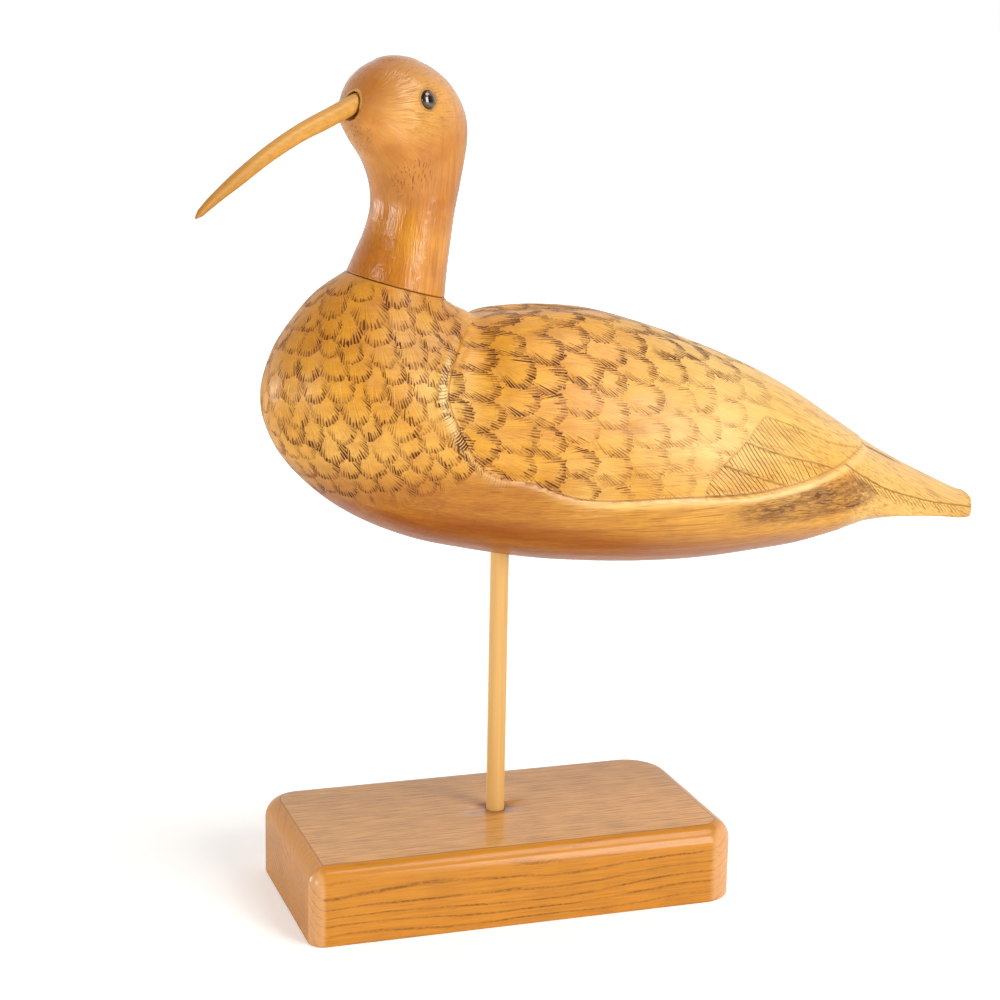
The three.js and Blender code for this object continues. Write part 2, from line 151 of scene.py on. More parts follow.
# Carved lines in the side view, x z in the figure's shares, the same on both sides of the bird
wing_edge = [
    (-4.0, 36.5), (-4.9, 33.9), (-7.7, 32.0), (-10.0, 28.4), (-10.9, 25.3), (-10.0, 21.8), (-7.7, 17.5),
    (-4.6, 15.1), (0, 13.9), (4.6, 12.0), (9.6, 11.1), (19.2, 11.0), (28.8, 10.7), (35.4, 11.3),
    (40.8, 12.4), (45.4, 13.7), (48.8, 14.5), (51.2, 15.3), (52.5, 17.2),
]
covert_edge = [
    (32.7, 20.7), (31.0, 19.4), (29.3, 17.8), (27.7, 16.5), (26.0, 15.2), (24.0, 12.8), (23.3, 9.5),
]
feather_lines = [
    [(32.7, 20.7), (38.2, 18.7), (43.5, 16.3), (49.2, 14.8), (53, 14)],
    [(29.3, 17.8), (34.9, 15.7), (40.2, 14.2), (42.8, 13.3), (46, 12)],
    [(26.4, 14.9), (31.1, 13.1), (35.5, 11.6), (38, 10.6)],
]
tail_line = [
    (44.5, 14.1), (46.7, 12.5), (49.0, 11.2), (52.4, 9.4), (56.4, 8.0), (60, 6.9), (63.4, 6.1), (75, 3.6),
]
tail_short_line = [
    (50.9, 14.9), (51.3, 14.35), (52.9, 13.55), (54.8, 12.6), (56.7, 11.65), (58.3, 10.8), (59.8, 10.0),
    (62.1, 8.8),
]
back_groove_profile = [(-5.4, 0), (-1.5, 0.65), (2.3, 1), (7.7, 0.85), (17.3, 0.3), (23.8, 0)]
wing_recess_profile = [(-5.4, 1), (23, 1), (42, 0.15), (60, 0.15)]
wing_top_fade = [(192, 1), (203, 0.3), (212, 0.1)]
tail_side_profile = [(46.2, 0), (50, 1)]
# Levels and places past every line, which close the regions beside them
far_above = 45
far_behind = 75
far_ahead = 16

# Rise of the ledge in front of the wing by level in millimetres, and of the rim below it along the bird
# in the figure's shares
ledge_rise = [(158, 0.1), (168, 0.3), (176, 0.45), (184, 0.75), (192, 0.7), (200, 0.3), (208, 0.1)]
rim_rise = [(5, 0.15), (20, 0.25), (34, 0.5), (44, 0.6)]
# Hollow inside the wing's edge, ledge and rim outside it: distance from the edge and half width, in
# millimetres
hollow_place = (1.2, 1.7)
ledge_place = (-2.3, 1.9)
rim_place = (-2.1, 2.0)
# Depths in millimetres: of the corner under each row of long feathers, of the tail's middle and sides
# under the wing tips, of the cuts across long feathers
row_corner_depth = 0.25
tail_drop = 0.5
tail_side_drop = 1.1
barb_depth = 0.22
# The patch left rough: centre x z, half length and half height, and the sizes along, across and up of
# its ripples and their height, in millimetres
rough_patch = (104, 138.5, 37, 8)
ripple_size = (7, 2.5, 1.6)
ripple_height = 1.1
# Where dirt stayed in the rough patch: x z, half length and half height in millimetres, share
sooty_places = [
    (107, 139.5, 8, 5, 1), (119, 135.5, 11, 4, 0.95), (89.5, 136.5, 8, 2.6, 0.9), (98, 138, 9, 2.5, 0.5),
    (113, 140.5, 8, 2.5, 0.8), (79, 136, 8, 1.8, 0.5), (133, 133.5, 8, 2.2, 0.6),
]
# Cuts across the rows of long feathers: the row's upper line, the next line below it, the cuts' angle
# below level, how far back from the coverts they fade out in millimetres
barb_rows = [("row_1", "row_2", 50, 26), ("row_2", "row_3", 57, 60), ("row_3", None, 50, 34)]
# Paler places, partly worn varnish and partly painted highlight: x z and radius in millimetres, share
pale_and_highlight_places = [
    (-48, 164, 11, 0.4), (-33, 184, 9, 0.8), (-34, 166, 11, 0.3), (66, 163, 26, 0.95), (95, 146, 14, 0.8),
    (-61, 163, 13, 0.5), (-38, 197, 12, 0.6), (55, 188, 18, 0.8), (-28, 179, 11, 0.8), (22, 149, 12, 0.6),
]
# Clusters of open pores on the head: x z and radius in millimetres
pored_places = [(-36, 249, 7), (-54, 261, 5)]
# Along the bird in millimetres: the level where the marked breast feathers end, the level below which
# the belly is painted darker, partly stain and partly painted shade, and how strongly the wing's rim is
# painted pale as painted highlight
breast_foot = [(-75, 146), (-61.7, 143.5), (-53.2, 144.8), (-43, 144.9), (-32.7, 148.7), (-21.9, 153.8)]
stain_and_shade_level = [(-80, 155), (-62, 150), (-40, 147), (0, 143), (30, 135), (60, 129), (110, 126)]
rim_highlight = [(40, 0.35), (85, 0.45), (100, 0.6), (120, 0.4)]
# By level in millimetres: how strongly the ledge is painted pale as painted highlight and cut across, and
# how dark the painted shade line behind it is
ledge_highlight_and_cuts = [(150, 0.3), (165, 0.5), (172, 0.8), (182, 1), (190, 0.9), (196, 0.35), (206, 0)]
front_shade_line_share = [(160, 0.3), (172, 1), (196, 1), (206, 0)]
# Where the cuts run deep over the ledge, and where the wing is painted pale as painted highlight: x z and
# radius in millimetres
deep_cut_place = (-24, 166.5, 3)
wing_highlight_place = (70, 165, 17)

# Rows of marked feathers in millimetres: on the breast from a level down, round an upright axis at x,
# with the skin's reach from it at the side and how much more in front; on the wing from x to x, and
# how far down its side
breast_rows = 14
breast_rows_top = 213
breast_rows_height = 60
breast_axis = -22.0
breast_side_reach = 34
breast_front_reach = 25
wing_rows_start = -30.0
wing_rows_end = 100
wing_rows_depth = 84
# How square the rims of the marked feathers are, where 2 is an ellipse
rim_power = 2.4
# How far outside the bird the search for its skin starts
clear_of_skin = 120
# What the body's mesh keeps for its finish: distances to carved lines, shares, and the cuts' count
# The bare share holds painted highlight, and the pale share holds it in part.
body_marks = [
    "wing", "wing_along", "covert", "row_1", "row_2", "row_3", "tail", "tail_short", "tail_short_along",
    "ink", "wing_shade_line", "stain_and_shade", "ledge", "deep_cuts", "pale", "bare", "shoulder", "rough", "soot",
    "barb_count", "barb_depth", "fibre_drop",
]

# How far in from the bill's and the eyes' places their marks on the head reach, and a distance that
# stands for none, in millimetres
mouth_depth = 7
eye_side_depth = 9
far_off = 40.0
# Where the head is painted darker, in millimetres. It sets in between two levels on the crown and at
# the nape, and ends between two on the throat; it sets in between two distances in front of the post on
# the throat, and between two places along the bird at the nape.
crown_levels = (268, 286)
nape_levels = (228, 244)
throat_levels = (226, 240)
throat_distances = (34, 46)
nape_places = (-32, -20)
# Level and half width of the ring of it below the head, and how far it reaches round the bill
below_head_place = (244, 11)
near_bill = 11

# How finely the meshes are divided: spacing of the body's rings along the bird in millimetres, points
# round one half of it, rings and sides of the head and the bill, sides of the round holes and rods
body_ring_spacing = [(56, 1.25), (62, 0.5), (66, 0.38), (112, 0.38), (120, 0.6), (134, 0.6), (140, 1.25)]
body_half_points = 127
head_rings, head_sides = 230, 184
bill_rings, bill_sides = 150, 40
hole_sides = 48
# Steps of the base's corners and sides, its levels at the foot, up the side and over the upper edge, the
# shares to which rings draw in over its top; rings of the post and of an eye's dome
arc_steps, side_steps = 14, 40
foot_levels, side_levels, edge_levels = 5, 12, 13
top_ring_shares = (0.96, 0.9, 0.8, 0.6, 0.4, 0.2)
post_rings, dome_rings = 70, 18
# How far the shape that cuts a hole stands out of the wood, in millimetres
hole_excess = 8

# Growth rings of the oak, and cuts across the rolled ledge: distance apart in millimetres
growth_ring = 2.4
ledge_barb_spacing = 0.95

# Soft boxes in metres and watts: name, place, width, height, power; the place that they are turned to;
# and the floor's radius in millimetres
soft_boxes = [
    ("key_box", (0.84, -1.5, 0.72), 0.7, 1.2, 22.5),
    ("top_box", (0.7, -0.5, 1.6), 0.8, 0.8, 10.5),
    ("fill_box", (-1.5, -0.75, 0.4), 0.6, 0.6, 10.5),
    ("rim_box", (-1.25, 0.75, 0.2), 0.4, 0.4, 5),
]
lit_place = Vector((0.0, 0, 0.15))
floor_radius = 12000
# The photograph's viewpoint: place in metres, turns in degrees, lens on a 36 mm sensor
camera_place = (-0.23936, -0.71431, 0.31581)
camera_turn = (76.7273, -1.0294, -18.2649)
camera_lens = 81.84
camera_sensor = 36


def linear(hex_value):
    """A linear colour from its sRGB hex value."""
    channels = [int(hex_value[i:i + 2], 16) / 255 for i in (1, 3, 5)]
    return tuple(c / 12.92 if c <= 0.04045 else ((c + 0.055) / 1.055) ** 2.4 for c in channels)


class DecoyBirdSettings(bpy.types.PropertyGroup):
    """Sizes and colours of the carved bird."""

    wing_recess: bpy.props.FloatProperty(
        name="Wing Recess", description="How far the wing lies under the breast's ledge",
        default=1.0 * MM, min=0, unit="LENGTH")
    feather_step: bpy.props.FloatProperty(
        name="Feather Step", description="How far each row of long feathers lies under the one above",
        default=0.35 * MM, min=0, unit="LENGTH")
    barb_spacing: bpy.props.FloatProperty(
        name="Barb Spacing", description="Distance between the cuts across the long feathers",
        default=1.25 * MM, min=0.5 * MM, unit="LENGTH")
    breast_feather: bpy.props.FloatProperty(
        name="Breast Feather", description="Width of one marked feather on the breast",
        default=8.1 * MM, min=3 * MM, unit="LENGTH")
    wing_feather: bpy.props.FloatProperty(
        name="Wing Feather", description="Width of one marked feather on the wing",
        default=10.4 * MM, min=3 * MM, unit="LENGTH")
    honey: bpy.props.FloatVectorProperty(
        name="Honey", description="The wood under its amber varnish", subtype="COLOR",
        default=linear("#E6A231"), min=0, max=1)
    # This colour also paints highlight on the breast, the wing and the cheek.
    pale_and_highlight_honey: bpy.props.FloatVectorProperty(
        name="Pale Honey", description="The wood where it is rubbed paler, on the wings and tail",
        subtype="COLOR", default=linear("#F2C067"), min=0, max=1)
    # This colour serves streaks and stain, and also painted shade under the breast and belly.
    deep_stain_and_shade: bpy.props.FloatVectorProperty(
        name="Deep Stain", description="The darker stain under the breast and belly",
        subtype="COLOR", default=linear("#9C531C"), min=0, max=1)
    # This colour serves burnt strokes and cuts, and painted shade along carved edges and in the bill's
    # hole.
    burn_and_shade_line: bpy.props.FloatVectorProperty(
        name="Burnt Line", description="The burnt strokes round the feathers", subtype="COLOR",
        default=linear("#5A2C0F"), min=0, max=1)
    head_wood: bpy.props.FloatVectorProperty(
        name="Head Wood", description="The redder wood of the head and neck", subtype="COLOR",
        default=linear("#DC9434"), min=0, max=1)
    bill_wood: bpy.props.FloatVectorProperty(
        name="Bill Wood", description="The bill's plain varnished wood", subtype="COLOR",
        default=linear("#D69B45"), min=0, max=1)


class DecoyStandSettings(bpy.types.PropertyGroup):
    """Colours of the post, the base and the floor."""

    birch: bpy.props.FloatVectorProperty(
        name="Birch", description="The post's pale wood", subtype="COLOR",
        default=linear("#E6B468"), min=0, max=1)
    oak: bpy.props.FloatVectorProperty(
        name="Oak", description="The base's varnished oak", subtype="COLOR",
        default=linear("#CD8526"), min=0, max=1)
    # The upper face's colour is paler and greyer than the edges' as painted sheen.
    oak_top_with_sheen: bpy.props.FloatVectorProperty(
        name="Oak Top", description="The base's duller upper face", subtype="COLOR",
        default=linear("#DE9E50"), min=0, max=1)
    oak_line: bpy.props.FloatVectorProperty(
        name="Oak Line", description="Growth lines and pores of the oak", subtype="COLOR",
        default=linear("#66370F"), min=0, max=1)
    floor: bpy.props.FloatVectorProperty(
        name="Floor", description="The plain studio floor", subtype="COLOR",
        default=linear("#F4F2EE"), min=0, max=1)


# Curves and forms

def station_at(rows, places):
    """Rows between the stations of a table, on a Catmull-Rom curve through all of them."""
    rows = np.asarray(rows, float)
    last = len(rows) - 1
    places = np.clip(np.atleast_1d(places), 0, last)
    i = np.minimum(places.astype(int), last - 1)
    f = (places - i)[:, None]
    p1, p2 = rows[i], rows[i + 1]
    p0 = np.where((i > 0)[:, None], rows[i - 1], 2 * p1 - p2)
    p3 = np.where((i < last - 1)[:, None], rows[np.minimum(i + 2, last)], 2 * p2 - p1)
    bend = 2 * p0 - 5 * p1 + 4 * p2 - p3
    return 0.5 * (2 * p1 + (p2 - p0) * f + bend * f ** 2 + (3 * p1 - p0 - 3 * p2 + p3) * f ** 3)


def curved(points, steps=60):
    """A smooth line through points, as points."""
    return station_at(points, np.linspace(0, len(points) - 1, steps + 1))


def look_up(rows, places):
    """Values between the rows of (place, value), straight from one to the next."""
    return np.interp(places, *np.asarray(rows, float).T)


def smooth_step(values, low, high):
    """0 below the low value, 1 above the high one, and a soft rise between them."""
    f = np.clip((values - low) / (high - low), 0, 1)
    return f * f * (3 - 2 * f)


def rise_and_fall(values, low, full, ebb, end):
    """0 below the low value, a soft rise to 1 at the full one, and a soft fall to 0 from ebb to end."""
    return smooth_step(values, low, full) * (1 - smooth_step(values, ebb, end))


def ridge(values, middle, half_width):
    """1 at the middle value, fading out to both sides over a half width."""
    return np.exp(-((values - middle) / half_width) ** 2)


def spot(x, z, middle_x, middle_z, half_length, half_height=None):
    """1 in the middle of a patch in the side view, fading out over its half length and half height."""
    return ridge(x, middle_x, half_length) * ridge(z, middle_z, half_height or half_length)


def round_angles(count):
    """Angles in even steps round a full turn."""
    return np.arange(count) * 2 * math.pi / count


def distance_to(line, points):
    """Distance of 2-D points to a line of points, and how far along the line each lies."""
    line = np.asarray(line, float)
    nearest = np.full(len(points), np.inf)
    along = np.zeros(len(points))
    passed = 0.0
    for start, end in zip(line[:-1], line[1:]):
        span = end - start
        length = np.hypot(*span)
        f = np.clip((points - start) @ span / length ** 2, 0, 1)
        gap = np.hypot(*(points - start - f[:, None] * span).T)
        closer = gap < nearest
        nearest = np.where(closer, gap, nearest)
        along = np.where(closer, passed + f * length, along)
        passed += length
    return nearest, along


def inside(outline, points):
    """Whether 2-D points lie inside a closed outline."""
    outline = np.asarray(outline, float)
    odd = np.zeros(len(points), bool)
    for (x0, z0), (x1, z1) in zip(outline, np.roll(outline, -1, 0)):
        if z0 == z1:
            continue
        crosses = (points[:, 1] < z0) != (points[:, 1] < z1)
        odd ^= crosses & (points[:, 0] < x0 + (points[:, 1] - z0) * (x1 - x0) / (z1 - z0))
    return odd


def side_distances(points):
    """Signed distances in millimetres to the carved lines, in the side view, for points in millimetres.

    Positive is inside the wing, behind the coverts, below a feather line and above the tail's line.
    """
    flat = np.stack([points[:, 0] / share, (points[:, 2] - belly_level) / share], -1)

    behind_and_above = (far_behind, far_above)
    above_coverts = [(far_behind, covert_edge[-1][1]), behind_and_above, (covert_edge[0][0], far_above)]
    lines = {
        "wing": (wing_edge, 80, [(wing_edge[-1][0], far_above), (wing_edge[0][0], far_above)]),
        "covert": (covert_edge, 40, above_coverts),
        "tail": (tail_line, 40, [behind_and_above, (tail_line[0][0], far_above)]),
        "tail_short": (tail_short_line, 20, [behind_and_above, (tail_short_line[0][0], far_above)]),
    }
    for i, line in enumerate(feather_lines):
        lines[f"row_{i + 1}"] = (line, 24, [(line[-1][0], 0), (far_ahead, 0), (far_ahead, line[0][1])])
    distances = {}
    for name, (line, steps, corners) in lines.items():
        line = curved(line, steps)
        gap, along = distance_to(line, flat)
        distances[name] = np.where(inside([*line, *corners], flat), gap, -gap) * share
        distances[name + "_along"] = along * share
    return distances


def relief(points, settings):
    """How far the carving raises or lowers the body's skin at points, in millimetres."""
    gaps = side_distances(points)
    x = points[:, 0] / share
    wing, covert = gaps["wing"], gaps["covert"]
    recess_share = look_up(wing_recess_profile, x) * look_up(wing_top_fade, points[:, 2])
    height = -settings.wing_recess / MM * recess_share * smooth_step(wing, -1.3, 0.6)
    # A hollow runs inside the wing's edge, and a rolled ledge outside it.
    front = smooth_step(-x, -1, 4)
    height -= (0.2 + 0.3 * front) * recess_share * ridge(wing, *hollow_place)
    height += look_up(ledge_rise, points[:, 2]) * front * ridge(wing, *ledge_place)
    rim = (1 - front) * (1 - smooth_step(x, 46, 50)) * look_up(rim_rise, x)
    height += rim * ridge(wing, *rim_place)
    # Each row of long feathers starts deep under the row above and rises towards its own lower edge.
    behind = smooth_step(covert, -0.3, 0.5) * smooth_step(wing, -0.2, 0.4)
    step = settings.feather_step / MM
    for i in (1, 2, 3):
        below = gaps[f"row_{i}"]
        height -= behind * step * smooth_step(below, -0.35, 0.35)
        corner = smooth_step(below, -0.2, 0.3) * np.exp(-np.maximum(below, 0) / 2)
        height -= behind * row_corner_depth * corner
    height -= 0.3 * behind * smooth_step(gaps["row_1"], 0, 1) * np.exp(-np.maximum(covert, 0) / 2.5)
    # The tail lies under the wing tips, and its sides lie under its middle feathers.
    past_wing = smooth_step(-wing, -0.3, 0.4) * smooth_step(x, 44.5, 45.2)
    middle = smooth_step(gaps["tail"], -0.35, 0.35)
    height -= past_wing * middle * (tail_drop + 0.25 * np.exp(-np.maximum(-wing, 0) / 2))
    sides = (1 - middle) * look_up(tail_side_profile, x)
    height -= past_wing * sides * (tail_side_drop + 0.3 * np.exp(-np.maximum(-gaps["tail"], 0) / 2))
    short = ridge(gaps["tail_short"], 0, 0.7) * rise_and_fall(x, 50.5, 51.5, 56, 61)
    height -= past_wing * middle * 0.2 * short
    height *= 1 - smooth_step(x, 66, 68)
    phase, depth = barbs(points, gaps, settings.barb_spacing / MM)
    off_middle = np.abs(phase % 1 - 0.5)
    height -= barb_depth * depth * (wing > 0) * (1 - smooth_step(off_middle, 0.04, 0.3))
    # The wood was left rough under the wing tip, in short level ripples.
    rough = rough_share(points, gaps)
    at = np.flatnonzero(rough > 0)
    ripples = [noise.noise(Vector(place)) for place in points[at] / ripple_size]
    height[at] += ripple_height * rough[at] * (np.abs(ripples) - 0.25)
    return height


def barbs(points, gaps, spacing):
    """Count of the cuts across long feathers and the tail's sides up to points, and how deep they are."""
    x, z = points[:, 0], points[:, 2]
    wobble = np.array([noise.noise(Vector((px, abs(py), pz)) * 0.12) for px, py, pz in points]) * 0.5

    def cuts(angle, step):
        return (x * math.sin(math.radians(angle)) + z * math.cos(math.radians(angle))) / step + wobble

    behind = smooth_step(gaps["covert"], 0, 0.5) * smooth_step(gaps["wing"], 0.3, 0.9)
    phase = cuts(50, 0.85 * spacing)
    below_tail = -gaps["tail"]
    depth = rise_and_fall(below_tail, 0.5, 0.9, 2.2, 4.2) * smooth_step(-gaps["wing"], 0.6, 1.2)
    depth *= rise_and_fall(x, 113, 120, 160, 182)
    for upper, lower, angle, length in barb_rows:
        own = behind * smooth_step(gaps[upper], 0.1, 0.5) * np.clip(1.1 - gaps["covert"] / length, 0, 1)
        if lower:
            own = own * (1 - smooth_step(gaps[lower], -0.5, -0.1))
        phase = np.where(own > depth, cuts(angle, spacing), phase)
        depth = np.maximum(own, depth)
    return phase, depth


def rough_share(points, gaps):
    """How rough the wood was left at points in millimetres: 1 in the patches under the wing tips."""
    x, z = points[:, 0], points[:, 2]
    centre_x, centre_z, half_length, half_height = rough_patch
    offset = x - centre_x
    share_out = np.hypot(offset / half_length, (z - centre_z - 0.08 * offset) / half_height)
    below_tail = 1 - smooth_step(gaps["tail"], -2.5, -0.5) * (x > 110)
    return (1 - smooth_step(share_out, 0.6, 1.1)) * smooth_step(-gaps["wing"], 1.6, 3.4) * below_tail


def body_skin(places, fractions):
    """The body's uncarved skin: a ring for each place, with points at fractions of both its halves."""
    rows = station_at(body_stations, places)
    upper, lower = rows[:, 0:2], rows[:, 2:4]
    half_width, widest, upper_full, lower_full, band = [rows[:, i, None] for i in range(4, 9)]
    rise = upper - lower
    height = np.hypot(*rise.T)[:, None]
    rise = rise / height
    middle = lower + rise * widest * height
    angle = np.linspace(0, math.pi / 2, 100)[None]
    low_out = half_width * np.sin(angle) ** (2 / lower_full)
    low_along = -band / 2 - (widest * height - band / 2) * np.cos(angle) ** (2 / lower_full)
    up_out = half_width * np.cos(angle) ** (2 / upper_full)
    up_out[:, -1] = 0
    low_out[:, 0] = 0
    up_along = band / 2 + ((1 - widest) * height - band / 2) * np.sin(angle) ** (2 / upper_full)
    groove = look_up(back_groove_profile, upper[:, 0])[:, None] * back_groove_depth / share
    up_along = up_along - groove * np.exp(-(up_out / back_groove_spread) ** 2)
    out = np.concatenate([low_out, up_out], 1)
    along = np.concatenate([low_along, up_along], 1)
    travelled = np.cumsum(np.hypot(np.diff(out, axis=1), np.diff(along, axis=1)), 1)
    travelled = np.concatenate([np.zeros((len(rows), 1)), travelled], 1)
    half = np.empty((len(rows), len(fractions), 3))
    for r in range(len(rows)):
        wanted = fractions * travelled[r, -1]
        y = np.interp(wanted, travelled[r], out[r])
        up_it = np.interp(wanted, travelled[r], along[r])
        centre = middle[r] + rise[r] * up_it[:, None]
        half[r] = np.stack([centre[:, 0] * share, -y * share, belly_level + centre[:, 1] * share], -1)
    far = half[:, 1:-1][:, ::-1] * (1, -1, 1)
    return np.concatenate([half, far], 1)


def grid_normals(grid):
    """Outward unit normals of a tube of rings that is closed around."""
    around = np.roll(grid, -1, 1) - np.roll(grid, 1, 1)
    along = np.gradient(grid, axis=0)
    normals = np.cross(around, along)
    normals /= np.linalg.norm(normals, axis=-1, keepdims=True) + 1e-12
    outward = np.sum(normals * (grid - grid.mean(1, keepdims=True)), -1).mean()
    return normals if outward > 0 else -normals


def tube_faces(rings, around):
    """Quads between rings of equal count, and a fan over each end round one more point each."""
    ring = np.arange(rings - 1)[:, None] * around
    k = np.arange(around)[None]
    following = (k + 1) % around
    quads = np.stack([ring + k, ring + following, ring + around + following, ring + around + k], -1)
    first, last = rings * around, rings * around + 1
    k, following = k[0], following[0]
    foot = [(b, a, first) for a, b in zip(k.tolist(), following.tolist())]
    top = (rings - 1) * around
    head = [(top + a, top + b, last) for a, b in zip(k.tolist(), following.tolist())]
    return [*map(tuple, quads.reshape(-1, 4).tolist()), *foot, *head]


def closed_tube(grid):
    """Points in a list and faces of a tube of rings, closed over both ends."""
    rings, around = grid.shape[:2]
    middles = grid[[0, -1]].mean(1)
    return np.concatenate([grid.reshape(-1, 3), middles]), tube_faces(rings, around)


def turned_grid(profile, sides, start=(0, 0, 0), axis=(0, 0, 1)):
    """Rings of a turned shape: (radius, height) rows about an axis from a start point."""
    turn = Vector((0, 0, 1)).rotation_difference(Vector(axis)).to_matrix()
    angles = round_angles(sides)
    radius, height = np.asarray(profile, float).T[..., None]
    rings = np.stack([radius * np.cos(angles), radius * np.sin(angles), np.repeat(height, sides, 1)], -1)
    return rings @ np.array(turn).T + np.array(start)


def make_mesh(name, points, faces):
    """A mesh from points in millimetres, its faces turned outwards and shaded smooth."""
    mesh = bpy.data.meshes.new(name)
    mesh.from_pydata((points * MM).tolist(), [], faces)
    mesh.validate()
    first, second, third = [points[[face[i] for face in faces]] for i in range(3)]
    volume = np.sum(first * np.cross(second, third))
    if volume < 0:
        mesh.flip_normals()
    mesh.shade_smooth()
    return mesh


def add_piece(name, mesh, material, node):
    """A piece of the decoy with its material, hung under the root, that hides the node's solid."""
    piece = bpy.data.objects.new(name, mesh)
    bpy.context.scene.collection.objects.link(piece)
    mesh.materials.clear()
    mesh.materials.append(material)
    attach(piece, "root")
    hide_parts(node)
    return piece


def cut_mesh(mesh, cutters):
    """The mesh with the cutters' shapes taken out of it."""
    whole = bpy.data.objects.new("whole", mesh)
    bpy.context.scene.collection.objects.link(whole)
    made = []
    for grid in cutters:
        cutter = bpy.data.objects.new("cutter", make_mesh("cutter", *closed_tube(grid)))
        bpy.context.scene.collection.objects.link(cutter)
        modifier = whole.modifiers.new("cut", "BOOLEAN")
        modifier.operation = "DIFFERENCE"
        modifier.solver = "MANIFOLD"
        modifier.object = cutter
        made.append(cutter)
    graph = bpy.context.evaluated_depsgraph_get()
    result = bpy.data.meshes.new_from_object(whole.evaluated_get(graph))
    result.shade_smooth()
    for thing in [whole, *made]:
        bpy.data.objects.remove(thing)
    return result


def each_vector(things, name):
    """A vector of each of a mesh's points or faces, as rows."""
    flat = np.empty(len(things) * 3)
    things.foreach_get(name, flat)
    return flat.reshape(-1, 3)


def each_count(things, name):
    """A whole number of each of a mesh's faces or corners."""
    counts = np.empty(len(things), int)
    things.foreach_get(name, counts)
    return counts


def mesh_points(mesh):
    """The mesh's points in millimetres."""
    return each_vector(mesh.vertices, "co") / MM


def face_centres(mesh):
    """The middles of the mesh's faces in millimetres."""
    return each_vector(mesh.polygons, "center") / MM


def store(mesh, name, values, domain="POINT"):
    """Keeps a number or a vector for each point or corner of the mesh."""
    values = np.asarray(values, float)
    kind = "FLOAT" if values.ndim == 1 else "FLOAT_VECTOR"
    attribute = mesh.attributes.new(name, kind, domain)
    attribute.data.foreach_set("value" if values.ndim == 1 else "vector", values.ravel())


# The body

def body_places():
    """Places of the body's rings, close together over the long feathers, where the finest cuts are."""
    fine = np.linspace(0, len(body_stations) - 1, 4000)
    rows = station_at(body_stations, fine) * share
    steps = [np.hypot(*np.diff(rows[:, i:i + 2], axis=0).T) for i in (0, 2)]
    travel = np.maximum(*steps)
    x = (rows[1:, 0] + rows[:-1, 0]) / 2
    count = np.concatenate([[0], np.cumsum(travel / look_up(body_ring_spacing, x))])
    return np.interp(np.linspace(0, count[-1], int(count[-1])), count, fine)


def half_fractions(count):
    """Fractions from the belly's middle to the back's, closer together above the belly."""
    even = np.linspace(0, 1, 400)
    spacing = 1.7 - 0.85 * smooth_step(even, 0.12, 0.34)
    travelled = np.concatenate([[0], np.cumsum((1 / spacing)[1:])])
    return np.interp(np.linspace(0, travelled[-1], count), travelled, even)


def body_mesh(settings):
    """The carved body with the post's hole in its belly."""
    grid = body_skin(body_places(), half_fractions(body_half_points))
    raised = relief(grid.reshape(-1, 3), settings).reshape(grid.shape[:2])
    grid = grid + grid_normals(grid) * raised[..., None]
    # The tail ends where its solid does.
    grid[..., 0] = np.minimum(grid[..., 0], body_high.x)
    mesh = make_mesh("bird_body", *closed_tube(grid))
    radius = post_diameter / 2 + post_hole_slack
    hole = turned_grid([(radius, belly_level - hole_excess), (radius, post_high.z + end_gap)], hole_sides)
    return cut_mesh(mesh, [hole])


def breast_girth(angle, q):
    """How far the breast's skin lies from its upright axis, at an angle from the front, row by row."""
    front_share = np.cos(np.minimum(np.abs(angle), math.pi / 2)) ** 2
    bulge = breast_side_reach + breast_front_reach * front_share
    return bulge * (0.5 + 0.5 * smooth_step(q, -0.1, 0.4)) * (1 - 0.12 * smooth_step(q, 0.7, 1))


def breast_feathers(skin, size, rng):
    """Rows of feathers round the breast, each hanging between two of the row above."""
    widest_turn = math.radians(118)
    feathers = []
    angles = np.array([0.0])
    for row in range(breast_rows):
        q = (row - 0.6) / (breast_rows - 1.2)
        width = size * (1.05 - 0.15 * q)
        angles = hang_between(angles, lambda a: width / breast_girth(a, q), widest_turn, rng)
        tilt = math.tan(math.radians(15 - 29 * q))
        for angle in angles:
            rise = breast_girth(angle, q) * math.cos(angle) * tilt
            height = breast_rows_top - breast_rows_height * q + rise + rng.normal(0, 0.5)
            direction = Vector((-math.cos(angle), -math.sin(angle), 0))
            start = Vector((breast_axis, 0, height)) + direction * clear_of_skin
            place, normal, _, _ = skin.ray_cast(start * MM, -direction)
            if place is None:
                continue
            lean = 0.75 * abs(math.sin(angle)) ** 1.5 * (0.25 + 0.75 * q)
            own = width * rng.uniform(0.86, 1.24)
            feathers.append(feather_at(place / MM, normal, Vector((lean, 0, -1)), own, own * 0.6, rng, row))
    return feathers


def hang_between(row, spacing, limit, rng):
    """Places of the next row: between those of the last one, with one more or fewer where it needs."""
    following = []
    for start, end in zip(row[:-1], row[1:]):
        middle = (start + end) / 2
        room = spacing(middle)
        if end - start > 1.5 * room:
            following += [start + (end - start) * 0.28, start + (end - start) * 0.74]
        elif not following or middle - following[-1] > 0.7 * room:
            following.append(middle)
    following = following or [row[0] + spacing(row[0]) / 2]
    while following[0] > -limit:
        following.insert(0, following[0] - spacing(following[0]))
    while following[-1] < limit:
        following.append(following[-1] + spacing(following[-1]))
    return np.array([place + rng.normal(0, 0.07) * spacing(place) for place in following])


def feather_at(place, normal, towards, width, length, rng, row):
    """One marked feather: its place and frame on the skin, half its width, its length, its own number."""
    normal = Vector(normal).normalized()
    tip = (towards - normal * towards.dot(normal)).normalized()
    tilt = rng.normal(0, math.radians(6))
    across = normal.cross(tip)
    tip = tip * math.cos(tilt) + across * math.sin(tilt)
    across = normal.cross(tip)
    half = width / 2 * rng.uniform(1.0, 1.14)
    place = np.array(place) + np.array(across) * rng.normal(0, 0.3)
    length = length * rng.uniform(0.9, 1.12)
    return place, np.array(normal), np.array(across), np.array(tip), half, length, row + rng.uniform(0, 0.9)


